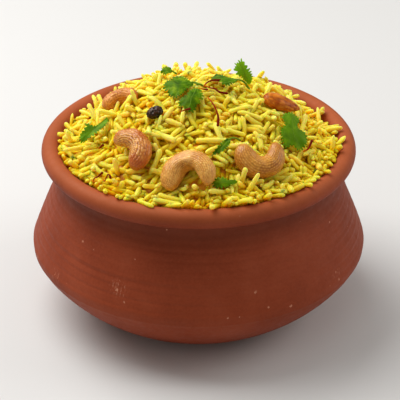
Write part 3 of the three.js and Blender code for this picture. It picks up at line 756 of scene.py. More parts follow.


SPRIGS = {
    "leaf_top": [
        Blade(
            at=(-8.0, -8.3, 4.6), faces=(-0.05, -0.35, 0.93), stem=(6.3, 1.2), droop=1.0,
            outline=[
                (4.1, 3.5), (2.7, 5.4), (0.9, 7.1), (-0.9, 7.1), (-2.8, 6.0), (-3.9, 4.8), (-3.2, 3.2),
                (-5.0, 3.6), (-6.4, 2.5), (-7.0, 0.3), (-6.5, -1.5), (-5.0, -2.3), (-4.9, -3.8),
                (-4.0, -5.6), (-2.2, -6.6), (-0.4, -6.4), (1.4, -5.0), (3.2, -2.9), (5.0, -0.8),
                (6.3, 0.3), (6.3, 1.9),
            ],
        ),
        Blade(
            at=(-3.3, -15.9, 4.4), faces=(0.0, -0.45, 0.9), stem=(2.2, 7.0), droop=1.2,
            outline=[
                (1.3, 6.9), (0.2, 5.6), (-1.1, 3.9), (-2.2, 2.0), (-3.4, 0.6), (-4.9, 0.0), (-5.8, -1.1),
                (-5.8, -2.8), (-4.9, -4.2), (-2.7, -4.5), (-3.6, -6.1), (-2.2, -6.7), (-0.9, -7.2),
                (0.9, -6.7), (1.8, -5.0), (1.8, -2.8), (2.9, -3.3), (4.0, -2.2), (3.4, -1.1),
                (4.5, -0.6), (5.2, 1.1), (4.9, 2.8), (3.9, 3.6), (4.5, 4.8), (4.0, 5.9), (2.7, 6.2),
            ],
        ),
    ],
    "leaf_crown": [
        Blade(
            at=(10.3, -1.2, 4.4), faces=(0.0, -0.05, 1.0), stem=(6.3, -0.9), droop=0.8,
            outline=[
                (6.3, -0.9), (4.6, 0.9), (2.3, 1.9), (0.0, 3.1), (-2.2, 4.4), (-4.5, 5.6), (-5.9, 4.2),
                (-5.2, 1.9), (-3.6, 0.0), (-2.3, -1.9), (-0.9, -3.7), (0.9, -4.6), (2.7, -4.2),
                (4.5, -2.8),
            ],
        ),
        Blade(
            at=(17.7, 2.2, 8.1), faces=(0.1, -1.0, 0.2), stem=(2.9, -6.3), droop=1.4, young=0.9,
            outline=[
                (3.2, -6.0), (3.7, -4.3), (4.1, -2.5), (3.7, -0.8), (3.0, 0.9), (2.0, 2.3), (0.9, 3.7),
                (0.0, 4.9), (-1.0, 5.9), (-2.1, 5.5), (-2.8, 4.3), (-3.9, 4.1), (-3.5, 2.9), (-4.5, 2.0),
                (-3.7, 0.6), (-3.2, -0.9), (-1.8, -1.6), (-0.4, -2.8), (0.9, -4.5), (2.6, -6.7),
            ],
        ),
    ],
    "leaf_back": [
        Blade(
            at=(-14.2, 8.5, 3.8), faces=(0.0, -0.35, 1.0), stem=(2.5, -1.0), droop=0.4,
            outline=[
                (-2.0, -1.6), (-0.7, -2.6), (1.2, -2.2), (2.5, -1.3), (2.5, 0.6), (1.1, 1.9),
                (-0.2, 2.3), (-1.6, 1.6), (-2.5, 0.0),
            ],
        ),
    ],
    "leaf_left": [
        Blade(
            at=(-45.2, -15.8, 3.8), faces=(-0.3, -0.5, 0.8), stem=(6.3, 5.4), droop=0.6,
            fold=0.34, young=0.26,
            outline=[
                (-6.2, -4.1), (-4.7, -4.9), (-2.8, -4.5), (-0.9, -3.5), (1.5, -2.4), (3.4, -0.9),
                (5.3, 0.4), (6.7, 1.7), (7.1, 3.7), (6.4, 6.2), (4.7, 4.1), (2.8, 2.9), (1.4, 2.1),
                (-1.0, 2.8), (-3.0, 3.7), (-3.4, 1.9), (-4.3, 0.5), (-6.0, -0.8), (-6.7, -2.2),
            ],
        ),
    ],
    "leaf_right": [
        Blade(
            at=(39.8, -20.7, 4.2), faces=(0.35, -0.5, 0.8), stem=(3.2, 2.6), droop=1.0,
            veins_from=(0.2, 7.0), young=0.26,
            outline=[
                (-4.2, 6.4), (-3.8, 4.7), (-3.1, 3.0), (-3.9, 1.0), (-5.1, -0.5), (-5.4, -2.7),
                (-4.9, -5.2), (-4.0, -7.3), (-3.1, -9.2), (-1.6, -9.2), (-0.2, -8.1), (0.8, -7.6),
                (2.0, -8.3), (3.2, -9.2), (4.9, -9.1), (6.7, -7.0), (7.7, -4.7), (7.7, -2.6),
                (6.8, -0.7), (4.9, 0.5), (3.2, 1.4), (3.0, 3.2), (4.0, 5.3), (3.8, 7.1), (2.6, 8.4),
                (1.2, 9.1), (-0.8, 9.0), (-2.8, 8.1),
            ],
        ),
    ],
    "leaf_middle": [
        Blade(
            at=(9.7, -40.1, 4.2), faces=(0.2, -0.6, 0.75), stem=(3.2, 3.9), droop=0.3, fold=0.4,
            outline=[
                (1.6, 3.4), (0.2, 2.0), (-1.6, 0.0), (-3.2, -2.2), (-4.3, -4.2), (-2.0, -3.5),
                (-0.2, -2.8), (1.6, -1.3), (3.1, 0.8), (3.6, 2.5), (3.2, 4.1),
            ],
        ),
    ],
    "leaf_front": [
        Blade(
            at=(10.7, -52.6, 4.0), faces=(0.0, -0.6, 0.8), stem=(5.7, 0.5), droop=0.6,
            fold=-0.12, young=0.3,
            outline=[
                (-4.8, -1.0), (-3.5, -2.2), (-1.8, -2.7), (0.0, -2.4), (1.7, -2.1), (3.1, -1.1),
                (4.8, -0.6), (5.9, 0.7), (4.0, 1.3), (2.2, 1.0), (0.9, 2.1), (-0.9, 2.7), (-2.6, 2.4),
                (-4.4, 1.9), (-5.3, 0.5),
            ],
        ),
    ],
}
# The way of each sprig's stalks: x, y and height over the heap.
STALKS = {
    "leaf_top": [
        [(-2.6, -6.9, 4.6), (0.1, -7.6, 4.3), (3.2, -7.6, 2.6)],
        [(-0.9, -8.6, 4.9), (0.6, -7.8, 4.3)],
    ],
    "leaf_crown": [
        [(14.6, 0.4, 4.3), (17.9, 2.9, 3.8), (20.1, 2.9, 3.2), (22.6, 0.6, 2.0)],
        [(20.4, 1.6, 3.6), (22.0, 1.8, 1.8)],
    ],
    "leaf_back": [[(-12.4, 7.8, 3.6), (-10.0, 7.3, 2.0)]],
    "leaf_middle": [[(12.2, -37.0, 4.4), (14.6, -35.6, 4.2), (17.9, -35.0, 2.8)]],
}
BLADE_THICKNESS = 0.34
TOOTH_PITCH, TOOTH_DEPTH = 1.55, 1.3
EDGE_STEP = 0.14  # between points along a blade's edge
FINE_POINTS = 2400  # of the smooth outline that the edge is measured on
VEIN_WIDTH = 0.2
STALK_R = 0.42


def spline(knots, t, closed=False):
    """Points and unit tangents of a smooth curve through knots, at t from 0 to 1."""
    knots = np.asarray(knots, float)
    if closed:
        k = np.vstack([knots[-1:], knots, knots[:2]])
    else:
        k = np.vstack([2 * knots[0] - knots[1], knots, 2 * knots[-1] - knots[-2]])
    spans = len(k) - 3
    u = np.clip(np.asarray(t, float) * spans, 0, spans - 1e-9)
    i = u.astype(int)
    f = (u - i)[..., None]
    p0, p1, p2, p3 = k[i], k[i + 1], k[i + 2], k[i + 3]
    bow = 2 * p0 - 5 * p1 + 4 * p2 - p3
    ease = 3 * p1 - p0 - 3 * p2 + p3
    points = 0.5 * (2 * p1 + (p2 - p0) * f + bow * f**2 + ease * f**3)
    slopes = 0.5 * ((p2 - p0) + 2 * bow * f + 3 * ease * f**2)
    return points, unit(slopes)


def toothed(outline, stem, seed):
    """The outline as a fine closed line with round teeth, which fade out towards the stem."""
    fine, _ = spline(outline, np.arange(FINE_POINTS) / FINE_POINTS, closed=True)
    step = np.linalg.norm(np.diff(fine, axis=0, append=fine[:1]), axis=1)
    run = np.concatenate([[0], np.cumsum(step)])
    length = run[-1]
    spokes = int(length / EDGE_STEP)
    at = np.arange(spokes) / spokes * length
    line = fine[np.searchsorted(run, at, side="right") - 1]
    along = unit(np.roll(line, -3, 0) - np.roll(line, 3, 0))
    outward = np.stack([along[:, 1], -along[:, 0]], -1)
    teeth = round(length / TOOTH_PITCH)
    phase = np.pi * (teeth * at / length + 0.3 * np.sin(TAU * 3 * at / length + seed))
    depth = TOOTH_DEPTH * (1 + 0.35 * np.sin(TAU * 5 * at / length + 2 * seed))
    far = np.clip((np.linalg.norm(line - np.array(stem), axis=1) - 1.5) / 3, 0, 1)
    return line + outward * (depth * (np.abs(np.sin(phase)) - 0.72) * far)[:, None]


def blade_sheet(blade, seed):
    """A blade's middle surface (rings, spokes, 3), its unit normal, and nearness to a vein."""
    edge = toothed(blade.outline, blade.stem, seed)
    rings = 15
    share = ((np.arange(rings) + 1) / rings) ** 0.9
    flat = share[:, None, None] * edge[None]
    a, b = flat[..., 0], flat[..., 1]
    out = np.hypot(a, b) / np.sqrt(np.mean(np.sum(edge**2, -1)))
    turn = np.arctan2(b, a)
    stem = np.array(blade.stem, float)
    ahead = -unit(stem)
    aside = a * -ahead[1] + b * ahead[0]
    rise = -blade.droop * out**2 + blade.fold * np.abs(aside)
    rise += 0.32 * out**2 * np.sin(3 * turn + seed)
    rise += 0.16 * out**3 * np.sin(11 * turn + 1.7 * seed)
    # The veins fan out from one point, and thin out away from it.
    source = blade.veins_from or stem
    from_a, from_b = a - source[0], b - source[1]
    far = np.hypot(from_a, from_b)
    fan = np.arctan2(from_a * -ahead[1] + from_b * ahead[0], from_a * ahead[0] + from_b * ahead[1])
    off = far * np.abs(np.sin((fan + 0.03 * np.sin(far)) * 6.5)) / 6.5
    vein = bell(off, VEIN_WIDTH - 0.008 * np.minimum(far, 14)) * np.clip(far / 2, 0, 1)
    rise -= 0.1 * vein
    normal = unit(np.array(blade.faces))
    first = unit(np.array([1.0, 0, 0]) - normal * normal[0])
    second = np.cross(normal, first)
    middle = over_heap(*blade.at)
    points = middle + a[..., None] * first + b[..., None] * second + rise[..., None] * normal
    return points, normal, vein


def blade_solid(blade, seed):
    """The blade as a closed thin solid with its points' looks, and its bare middle surface."""
    points, normal, vein = blade_sheet(blade, seed)
    centre = points[0].mean(0)
    half = normal * BLADE_THICKNESS / 2
    thin = np.linspace(1, 0.35, len(points))[:, None, None]
    sheet = np.concatenate([points + half * thin, (points - half * thin)[::-1]])
    solid, faces = skin(sheet, centre + half, centre - half)
    veins = np.concatenate([vein.ravel(), vein[::-1].ravel(), [0.5, 0.5]])
    looks = np.stack([veins, np.full(len(veins), blade.young)], -1)
    return (solid, faces, looks), skin(points, centre)


def tube(route, radius_at, sides=10, steps=20, tops=None):
    """A stalk or thread along a route over the heap, draped over the grains if tops is given."""
    t = np.linspace(0, 1, steps + 1)
    middle, along = spline([over_heap(*stop) for stop in route], t)
    if tops:
        middle = tops.drape(middle)
    side = unit(np.cross((0, 0, 1), along))
    up = np.cross(along, side)
    around = turns_of(sides)[None, :, None]
    radius = radius_at(t)[:, None, None]
    rings = middle[:, None] + side[:, None] * np.cos(around) * radius
    rings += up[:, None] * np.sin(around) * radius
    ends = (middle[0] - along[0] * radius[0, 0], middle[-1] + along[-1] * radius[-1, 0])
    points, faces = skin(rings, *ends)
    return points, faces, np.append(np.repeat(t, sides), [0.0, 1.0])


def merged(parts):
    """Several (points, faces, values) lists as one."""
    points, _, values = zip(*parts)
    faces, base = [], 0
    for part_points, part_faces, _ in parts:
        faces += [[index + base for index in face] for face in part_faces]
        base += len(part_points)
    return np.vstack(points), faces, np.concatenate(values)


def make_leaves(material):
    """Makes each sprig, and returns the blades that loose grains must stay under."""
    sheets = []
    for number, (name, blades) in enumerate(SPRIGS.items()):
        parts = []
        for index, blade in enumerate(blades):
            solid, sheet = blade_solid(blade, number * 2.3 + index)
            parts.append(solid)
            if blade.faces[2] > 0.5:
                sheets.append(sheet)
        for route in STALKS.get(name, []):
            points, faces, _ = tube(route, lambda t: np.full(len(t), STALK_R))
            # A stalk takes the veins' paler green and a little painted light.
            parts.append((points, faces, np.full((len(points), 2), (0.9, 0.2))))
        points, faces, looks = merged(parts)
        vein, young = looks.T
        add_piece(name + "_sprig", points, faces, material, "leaf", [name], vein=vein, young=young)
    return sheets


# ---- saffron ----
# The way of each thread: x, y and height over the heap.
SAFFRON = [
    [(2.0, -8.7, 4.4), (3.2, -7.0, 5.0), (5.4, -5.0, 5.0), (9.3, -1.9, 3.6)],
    [(2.0, -8.5, 4.2), (4.5, -9.6, 4.8), (6.7, -10.2, 5.0), (9.2, -11.7, 4.6), (12.5, -11.0, 3.6)],
    [(4.0, -13.9, 2.8), (6.0, -18.6, 4.6), (7.9, -23.6, 4.8), (8.6, -27.7, 4.6), (8.3, -31.5, 3.6)],
    [(-8.4, -23.4, 3.2), (-5.9, -22.9, 4.2), (-4.1, -21.8, 3.6)],
    [(-43.5, -43.8, 6.8), (-41.3, -42.6, 8.2), (-39.5, -42.0, 8.4), (-38.8, -41.2, 7.4)],
    [(-38.2, -44.6, 8.0), (-35.4, -46.4, 9.2), (-35.0, -49.0, 8.4)],
    [(-42.9, -27.3, 3.2), (-41.6, -27.6, 4.0), (-41.0, -26.8, 3.2)],
    [(44.9, -27.4, 3.4), (46.7, -24.8, 4.2), (48.9, -18.2, 3.6)],
    [(-48.7, -4.2, 3.2), (-47.6, -4.6, 3.8), (-47.6, -3.1, 3.2)],
    [(0.8, -9.7, 3.6), (2.5, -10.2, 3.8), (3.5, -10.3, 2.8)],
]


def make_saffron(material, tops):
    """Threads that widen along their way."""
    parts = [tube(route, lambda t: 0.32 + 0.28 * t**2, 8, 28, tops) for route in SAFFRON]
    points, faces, along = merged(parts)
    add_piece("saffron_threads", points, faces, material, "rice", ["rice"], along=along)


# ---- loose rice ----
GRAIN_COUNT = 1720
BEADS = 5  # balls along a grain, which stand for it while the grains settle
GRAIN_LENGTH, GRAIN_R = 10.2, 1.07
SHORT_LENGTH = 0.88 * GRAIN_LENGTH  # shorter grains are broken ones, which make a kind of their own
STRAIGHT_BEND, CURLED_BEND = 0.32, 0.8  # in radians: straight grains bend less, curled ones more
SETTLE_STEPS = 100
NEIGHBOUR_STEPS = 6  # between one search for neighbours and the next
PUSHES = 3  # off each other in a step
DOWN = Vector((0, 0, -1))
GAP = 0.05  # kept between the grains and what they lie on
LEAF_GAP = 0.35  # kept under a leaf


def near_to(trees, points, margin):
    """Each tree with the index of each point that lies within its reach and a margin."""
    for tree, middle, reach in trees:
        for index in np.nonzero(np.linalg.norm(points - middle, axis=1) < reach + margin)[0]:
            yield tree, index


def in_front(sine):
    """Share of the rim's front, from the sine of the turn about the axis."""
    return np.maximum(-sine, 0) ** 2


class Grains:
    """Loose grains as rigid bent rods, settled on the bed so that they rest without crossing."""

    def __init__(self, count):
        self.count = count
        self.length = GRAIN_LENGTH * np.clip(rng.normal(1, 0.23, count), 0.5, 1.5)
        self.radius = GRAIN_R * np.clip(rng.normal(1, 0.08, count), 0.85, 1.2)
        self.bend = np.minimum(np.abs(rng.normal(0, 0.62, count)), 1.7)
        self.tint = rng.random(count)
        turn = TAU * rng.random(count)
        # They come nearest the lip in front, and stay farther from it on the left and at the back.
        edge = HEAP_R + np.cos(turn) + 7 * in_front(np.sin(turn)) - 1.5 * np.sin(turn)
        reach = edge * rng.random(count) ** 0.54
        x, y = reach * np.cos(turn), reach * np.sin(turn)
        normal = heap_normals(x, y)
        # The start heights leave room to fall and spread.
        height = rng.uniform(1, 9 - 4.5 * by_rim(x, y))
        self.centre = np.stack([x, y, bed_z(x, y)], -1) + normal * height[:, None]
        by_the_rim = reach > RIM_START_R
        pokes_out = rng.random(count) < np.where(by_the_rim, 0.72 - 0.3 * np.sin(turn), 0.5)
        near_rim = pokes_out & by_the_rim
        # By the rim they lie along it or point over it.
        beside = rng.random(count) < 0.35 + 0.4 * np.abs(np.sin(turn))
        across = np.where(beside, np.pi / 2, 0) * rng.choice((-1, 1), count)
        over_rim = turn + across + rng.normal(0, 0.9, count)
        heading = np.where(by_the_rim, over_rim, TAU * rng.random(count))
        flat = np.stack([np.cos(heading), np.sin(heading), np.zeros(count)], -1)
        lean = np.where(near_rim, rng.normal(34, 22, count), rng.normal(36, 18, count))
        steep = np.radians(np.where(pokes_out, lean, rng.normal(0, 24, count)))
        # How firmly each keeps its turn while it is pushed.
        self.hold = np.where(near_rim, 1.7, np.where(pokes_out, 0.8, np.where(by_the_rim, 0.4, 0.05)))
        flat = unit(flat - normal * np.sum(flat * normal, -1, keepdims=True))
        along = flat * np.cos(steep)[:, None] + normal * np.sin(steep)[:, None]
        side = unit(np.cross(normal, along))
        roll = TAU * rng.random(count)[:, None]
        up = np.cross(along, side)
        bow = side * np.cos(roll) + up * np.sin(roll)
        self.turn = np.stack([along, bow, np.cross(along, bow)], -1)
        # The balls at both ends are smaller.
        self.bead_r = self.radius[:, None] * np.array([0.78, 1, 1, 1, 0.78])
        self.rest = self.along_arc(np.linspace(-0.5, 0.5, BEADS), 2 * self.bead_r[:, 0])

    def along_arc(self, share, shorter_by=0.0):
        """Points at shares (-0.5 to 0.5) of each grain's bent middle line, in its own frame."""
        length = (self.length - shorter_by)[:, None]
        bend = np.maximum(self.bend, 1e-3)[:, None]
        angle = share[None, :] * bend
        radius = length / bend
        line = np.stack([radius * np.sin(angle), radius * (1 - np.cos(angle)), 0 * angle], -1)
        return line - line.mean(1, keepdims=True)

    def beads(self):
        """Middles (n, BEADS, 3) of the balls that stand for the grains."""
        return self.centre[:, None] + turned(self.turn, self.rest)

    def make_rigid(self, beads):
        """Fits each grain's place and turn to where its beads were pushed."""
        self.centre = beads.mean(1)
        moved = beads - self.centre[:, None]
        cross = np.einsum("nki,nkj->nij", moved, self.rest)
        spread = np.sum(self.rest**2, (1, 2))[:, None, None]
        keeping = self.hold[:, None, None] * spread * self.turn
        left, _, right = np.linalg.svd(cross + keeping)
        flip = np.sign(np.linalg.det(left @ right))
        left[:, :, 2] *= flip[:, None]
        self.turn = left @ right


def close_pairs(points, owner, reach):
    """Pairs of beads of different grains, within reach of each other."""
    tree = kdtree.KDTree(len(points))
    for index, point in enumerate(points):
        tree.insert(point, index)
    tree.balance()
    pairs = []
    for index, point in enumerate(points):
        for _, other, _ in tree.find_range(point, reach):
            if other > index and owner[other] != owner[index]:
                pairs.append((index, other))
    return np.array(pairs).reshape(-1, 2)


def push_apart(points, radii, pairs):
    """Moves beads that overlap off each other, each by half."""
    count = len(points)
    i, j = pairs[:, 0], pairs[:, 1]
    gap = points[j] - points[i]
    distance = np.maximum(np.linalg.norm(gap, axis=1), 1e-6)
    overlap = np.maximum(radii[i] + radii[j] - distance, 0)
    shift = gap / distance[:, None] * (0.5 * overlap)[:, None]
    touched = (overlap > 0).astype(float)
    number = np.bincount(i, touched, count) + np.bincount(j, touched, count)
    total = np.stack([np.bincount(j, part, count) - np.bincount(i, part, count) for part in shift.T], -1)
    return points + total / np.maximum(1, 0.55 * number)[:, None]


def keep_in_bowl(points, radii):
    """Holds beads over the bed, inside the pot's wall and outside the lip's roll."""
    x, y, z = points.T
    normal = heap_normals(x, y)
    deep = (z - bed_z(x, y)) * normal[:, 2] - radii * 0.6
    points = points - normal * np.minimum(deep, 0)[:, None]
    r = np.maximum(np.hypot(points[:, 0], points[:, 1]), 1e-6)
    away = np.stack([LIP_MID_R - r, points[:, 2] - LIP_Z], -1)
    distance = np.maximum(np.linalg.norm(away, axis=1), 1e-6)
    inside = np.maximum(LIP_ROLL + radii + GAP - distance, 0)
    move = away / distance[:, None] * inside[:, None]
    new_r = r - move[:, 0]
    wall = LIP_MID_R - LIP_ROLL - radii - 0.1
    new_r = np.where(points[:, 2] < LIP_Z, np.minimum(new_r, wall), new_r)
    points = points * np.stack([new_r / r, new_r / r, np.ones_like(r)], -1)
    points[:, 2] += move[:, 1]
    return points


def push_from_solids(points, radii, trees):
    """Pushes beads out of the nuts and the raisin."""
    for tree, index in near_to(trees, points, 2):
        spot, normal, _, _ = tree.find_nearest(points[index])
        out = (Vector(points[index]) - spot).dot(normal)
        if out < radii[index] + GAP:
            points[index] += np.array(normal) * (radii[index] + GAP - out)
    return points


def clear_tops(points, radii, columns):
    """Pushes beads aside that would lie on top of a nut or the raisin."""
    for middles, reaches, normal in columns:
        for middle, reach in zip(middles, reaches):
            gap = points - middle
            height = gap @ normal
            flat = gap - height[:, None] * normal
            away = np.maximum(np.linalg.norm(flat, axis=1), 1e-6)
            clear = reach + radii * 0.8
            hit = (height > reach * 0.1) & (height < 14) & (away < clear)
            points[hit] += (flat[hit] / away[hit, None]) * (clear - away)[hit, None] * 0.7
    return points


def keep_under_leaves(points, radii, trees):
    """Moves beads that lie over a blade, or too near under it, to just beneath it."""
    for tree, index in near_to(trees, points, 6):
        at = Vector(points[index])
        low = radii[index] + LEAF_GAP
        spot, _, _, far = tree.ray_cast(at, DOWN, 12)
        if spot is not None:
            points[index, 2] -= (far + low) * 0.6
            continue
        spot, _, _, far = tree.ray_cast(at, -DOWN, low)
        if spot is not None:
            points[index, 2] -= low - far
    return points


def tree_of(points, faces):
    """A search tree of a solid or sheet, with its middle and how far it reaches from it."""
    middle = np.mean(points, 0)
    reach = np.max(np.linalg.norm(points - middle, axis=1))
    return BVHTree.FromPolygons([Vector(p) for p in points], faces), middle, reach


def down_at(beads):
    """Which way loose grains press: into the heap on top of it, straight down by the rim."""
    rim = by_rim(beads[:, 0], beads[:, 1])[:, None]
    return -unit(heap_normals(beads[:, 0], beads[:, 1]) * (1 - rim) + UP * rim)


def settle(grains, solids, columns, sheets):
    """Lets the grains drop onto the bed and push each other apart. Returns which are well laid."""
    nut_trees = [tree_of(*solid) for solid in solids]
    leaf_trees = [tree_of(*sheet) for sheet in sheets]
    owner = np.repeat(np.arange(grains.count), BEADS)
    radii = grains.bead_r.ravel()
    for step in range(SETTLE_STEPS):
        beads = grains.beads().reshape(-1, 3)
        late = step / SETTLE_STEPS
        beads += down_at(beads) * (0.16 * (1 - late) + 0.01)
        if step % NEIGHBOUR_STEPS == 0:
            pairs = close_pairs(beads, owner, 2 * radii.max() + 0.9)
        for _ in range(PUSHES):
            beads = push_apart(beads, radii, pairs)
        beads = clear_tops(beads, radii, columns)
        beads = push_from_solids(beads, radii, nut_trees)
        beads = keep_under_leaves(beads, radii, leaf_trees)
        beads = keep_in_bowl(beads, radii)
        grains.make_rigid(beads.reshape(-1, BEADS, 3))
    return well_laid(grains, nut_trees, leaf_trees)


def well_laid(grains, nut_trees, leaf_trees):
    """Which grains end up within the lip, clear of the nuts and not over a blade."""
    beads = grains.beads()
    x, y = beads[:, :, 0], beads[:, :, 1]
    r = np.hypot(x, y)
    edge = LIP_MID_R - 1.5 + 1.5 * x / r + 4 * in_front(y / r)
    good = np.all(r < edge, axis=1)
    for tree, index in near_to(nut_trees, grains.centre, 8):
        for bead, radius in zip(beads[index], grains.bead_r[index]):
            spot, normal, _, _ = tree.find_nearest(bead)
            if (Vector(bead) - spot).dot(normal) < radius * 0.35:
                good[index] = False
    for tree, index in near_to(leaf_trees, grains.centre, 8):
        for bead in beads[index]:
            if tree.ray_cast(Vector(bead) + Vector((0, 0, 0.4)), DOWN, 9)[0] is not None:
                good[index] = False
    return good


class Tops:
    """How high the loose grains reach, on a smoothed grid over the pot."""

    CELL = 3.0
    HALF = 26  # cells from the axis to the grid's edge

    def __init__(self, grains, good):
        self.beads = (grains.beads()[good] + [0, 0, GRAIN_R]).reshape(-1, 3)
        edge = (np.arange(2 * self.HALF) - self.HALF + 0.5) * self.CELL
        x, y = np.meshgrid(edge, edge, indexing="ij")
        high = np.zeros_like(x)
        cell = np.floor(self.beads[:, :2] / self.CELL).astype(int) + self.HALF
        np.maximum.at(high, tuple(np.clip(cell, 0, 2 * self.HALF - 1).T), self.beads[:, 2])
        # Only the cells that hold grains count.
        full = (high > 0).astype(float)
        for _ in range(2):
            high, full = self.blurred(high), self.blurred(full)
        self.high = np.where(full > 0.01, high / np.maximum(full, 0.01), bed_z(x, y))

    def drape(self, line):
        """Lifts a line where grains would bury it, so that it lies on them."""
        away = np.linalg.norm(line[:, None, :2] - self.beads[None, :, :2], axis=-1)
        tops = np.where(away < GRAIN_R + 1.6, self.beads[None, :, 2] + 0.9, 0).max(1)
        lift = np.clip(tops - line[:, 2], 0, 6)
        # The lift is carried along the line to both sides, and then smoothed.
        for blend in (np.max, np.mean):
            padded = np.pad(lift, 3, mode="edge")
            lift = blend([padded[k : k + len(line)] for k in range(7)], 0)
        return line + UP * lift[:, None]

    def blurred(self, grid):
        """The grid with each cell as the mean of the nine round it."""
        size = len(grid)
        padded = np.pad(grid, 1, mode="edge")
        return sum(padded[a : a + size, b : b + size] for a in range(3) for b in range(3)) / 9

    def at(self, points):
        """Height of the grid over each point, drawn straight between the cells' middles."""
        place = np.clip(points[:, :2] / self.CELL + self.HALF - 0.5, 0, 2 * self.HALF - 1.001)
        i, j = place.astype(int).T
        a, b = (place - place.astype(int)).T
        near = self.high[i, j] * (1 - b) + self.high[i, j + 1] * b
        return near * (1 - a) + (self.high[i + 1, j] * (1 - b) + self.high[i + 1, j + 1] * b) * a


def grain_bodies(grains, chosen, share, sides):
    """Points of each chosen grain (its rings, then its tips) and of its axis, in its own frame."""
    line = grains.along_arc(np.concatenate([[-0.5], share, [0.5]]))[chosen]
    along = unit(np.gradient(line, axis=1))
    flat = np.cross((0, 0, 1), along)
    # The tint is random, so it also picks each grain's own form.
    phase = TAU * grains.tint[chosen][:, None]
    blunt = 8 + 3 * np.sin(9 * phase)
    radius = grains.radius[chosen][:, None] * np.sqrt(1 - np.abs(2 * share[None, :]) ** blunt)
    radius *= 1 + 0.16 * np.sin(11 * phase) * share
    radius = radius * (1 + 0.08 * np.sin(share * 10 + phase) + 0.06 * np.sin(share * 21 + 3 * phase))
    around = turns_of(sides)
    wide = (1 + 0.14 * np.sin(7 * phase))[:, :, None]
    crease = 1 - 0.12 * bell(around - np.pi / 2, 0.5)
    lumps = 1 + 0.07 * np.sin(3 * around + 13 * share[:, None] + 4 * phase[:, :, None])
    body = (
        line[:, 1:-1, None]
        + flat[:, 1:-1, None] * (np.cos(around) * lumps * radius[..., None] * wide)[..., None]
        + UP * (np.sin(around) * crease * lumps * radius[..., None] / wide)[..., None]
    )
    # The ends are blunt, some of them dimpled where the grain has burst in cooking.
    burst = grains.radius[chosen] * np.clip(1.6 * np.sin(5 * phase[:, 0]) - 0.5, 0, 1)
    first = line[:, :1] + along[:, :1] * burst[:, None, None]
    last = line[:, -1:] - along[:, -1:] * burst[:, None, None]
    own = np.concatenate([body.reshape(len(chosen), -1, 3), first, last], 1)
    axis = np.concatenate([np.repeat(line[:, 1:-1], sides, axis=1), line[:, :1], line[:, -1:]], 1)
    return own, axis


def grain_faces(number, rings, sides):
    """Faces of a number of grains whose points follow each other."""
    _, faces = skin(np.zeros((rings, sides, 3)), (0, 0, 0), (0, 0, 0))
    shift = (np.arange(number) * (rings * sides + 2))[:, None, None]
    every = []
    for corners in (4, 3):
        same = np.array([face for face in faces if len(face) == corners])
        every += (same[None] + shift).reshape(-1, corners).tolist()
    return every


def grain_meshes(grains, chosen, tops, sides=10, rings=12):
    """One mesh of the chosen grains: points, faces and the values that colour each point."""
    number, per = len(chosen), rings * sides + 2
    share = -0.5 * np.cos(np.pi * (np.arange(rings) + 0.5) / rings)
    own, axis = grain_bodies(grains, chosen, share, sides)
    turn = grains.turn[chosen]
    points = (grains.centre[chosen][:, None] + turned(turn, own)).reshape(-1, 3)
    off_axis = turned(turn, own - axis).reshape(-1, 3)
    normal = heap_normals(points[:, 0], points[:, 1])
    near_tip = np.concatenate([np.repeat(np.abs(2 * share), sides), [1.0, 1.0]])
    values = {
        "upside": np.sum(off_axis * normal, 1) / GRAIN_R,
        "tint": np.repeat(grains.tint[chosen], per),
        "tip": np.tile(near_tip, number),
        "height": (points[:, 2] - tops.at(points)) * normal[:, 2],
    }
    return points, grain_faces(number, rings, sides), values


# The colours of each kind of grain: three shades, and the pale colour of its painted highlight.
RICE_KINDS = {
    "rice_grains_straight": ((240, 198, 4), (246, 214, 20), (250, 228, 64), (252, 238, 140)),
    "rice_grains_bowed": ((238, 192, 2), (244, 210, 14), (250, 226, 54), (252, 238, 132)),
    "rice_grains_curled": ((236, 188, 2), (244, 206, 10), (250, 224, 48), (252, 238, 130)),
    "rice_grains_short": ((234, 182, 2), (242, 202, 8), (248, 220, 42), (252, 238, 144)),
}


def make_rice(solids, columns, sheets):
    """Makes the loose grains. Returns how high they reach."""
    grains = Grains(GRAIN_COUNT)
    good = np.ones(grains.count, bool)
    good = settle(grains, solids, columns, sheets)
    tops = Tops(grains, good)
    short = grains.length < SHORT_LENGTH
    straight = ~short & (grains.bend < STRAIGHT_BEND)
    curled = ~short & (grains.bend > CURLED_BEND)
    bowed = ~short & ~straight & ~curled
    for (name, (*shades, tip)), chosen in zip(RICE_KINDS.items(), (straight, bowed, curled, short)):
        points, faces, values = grain_meshes(grains, np.nonzero(chosen & good)[0], tops)
        add_piece(name, points, faces, rice_material(name, shades, tip), "rice", ["rice"], **values)
    return tops


# ---- the set ----
# Where each light stands, seen from the heap, its distance and size in metres, and its watts.
LIGHTS = {
    "key": ((-0.66, 0.36, 1.1), 0.9, 0.8, 10.4),
    "fill": ((1.0, 0.1, 0.6), 1.2, 0.7, 4.1),
    "front": ((-0.1, -0.7, 1.0), 1.1, 0.6, 0.5),
}
LIT_POINT = Vector((0, 0, 0.07))
SKY_COLOUR, SKY_STRENGTH = (1, 0.98, 0.95, 1), 0.31
FLOOR_HALF_WIDTH = 3.0
CAMERA_PITCH = 29.3
CAMERA_DISTANCE = 1.1
CAMERA_TARGET = Vector((0.0007, 0, 0.0518))
PIXELS_PER_MM = 2.137  # of the photograph's 400, at the target
IMAGE_SIZE = 400


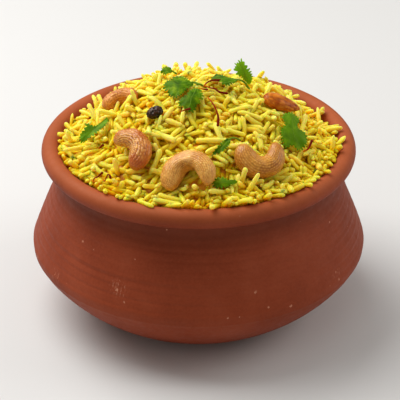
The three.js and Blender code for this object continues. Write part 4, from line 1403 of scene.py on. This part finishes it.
def make_floor():
    """A plain pale floor."""
    size = FLOOR_HALF_WIDTH
    corners = [(-size, -size, 0), (size, -size, 0), (size, size, 0), (-size, size, 0)]
    mesh = bpy.data.meshes.new("floor")
    mesh.from_pydata(corners, [], [(0, 1, 2, 3)])
    mesh.materials.append(Shader("pale_floor", Roughness=0.7, Base_Color=(0.7, 0.69, 0.67, 1)).material)
    linked("floor", mesh)


def aimed(name, data, target, away, distance):
    """A light or camera that looks at a target from a distance along the unit vector away."""
    made = linked(name, data)
    made.location = target + away * distance
    made.rotation_euler = away.to_track_quat("Z", "Y").to_euler()
    return made


def make_light(name, direction, distance, size, watts):
    """A square soft light that looks at the heap from a direction."""
    data = bpy.data.lights.new(name, "AREA")
    data.shape = "SQUARE"
    data.size = size
    data.energy = watts
    aimed(name, data, LIT_POINT, Vector(direction).normalized(), distance)


def make_camera():
    """The photograph's camera: it looks down at the pot from the front."""
    data = bpy.data.cameras.new("camera")
    focal_pixels = PIXELS_PER_MM * CAMERA_DISTANCE / MM
    data.sensor_width = 36
    data.lens = focal_pixels / IMAGE_SIZE * data.sensor_width
    pitch = math.radians(CAMERA_PITCH)
    back = Vector((0, -math.cos(pitch), math.sin(pitch)))
    bpy.context.scene.camera = aimed("camera", data, CAMERA_TARGET, back, CAMERA_DISTANCE)


def make_set():
    """The floor, the camera, the lights and an even sky."""
    make_floor()
    make_camera()
    for name, light in LIGHTS.items():
        make_light(name, *light)
    world = bpy.data.worlds.new("studio")
    world.use_nodes = True
    sky = world.node_tree.nodes["Background"].inputs
    sky["Color"].default_value = SKY_COLOUR
    sky["Strength"].default_value = SKY_STRENGTH
    bpy.context.scene.world = world
    bpy.context.scene.view_settings.view_transform = "Standard"


make_set()
make_handi(clay_material())
solids, columns = make_cashews()
for solid, column in (make_almond(), make_raisin()):
    solids.append(solid)
    columns.append(column)
leaf_sheets = make_leaves(leaf_material())
make_bed(bed_material())
tops = make_rice(solids, columns, leaf_sheets)
make_saffron(saffron_material(), tops)
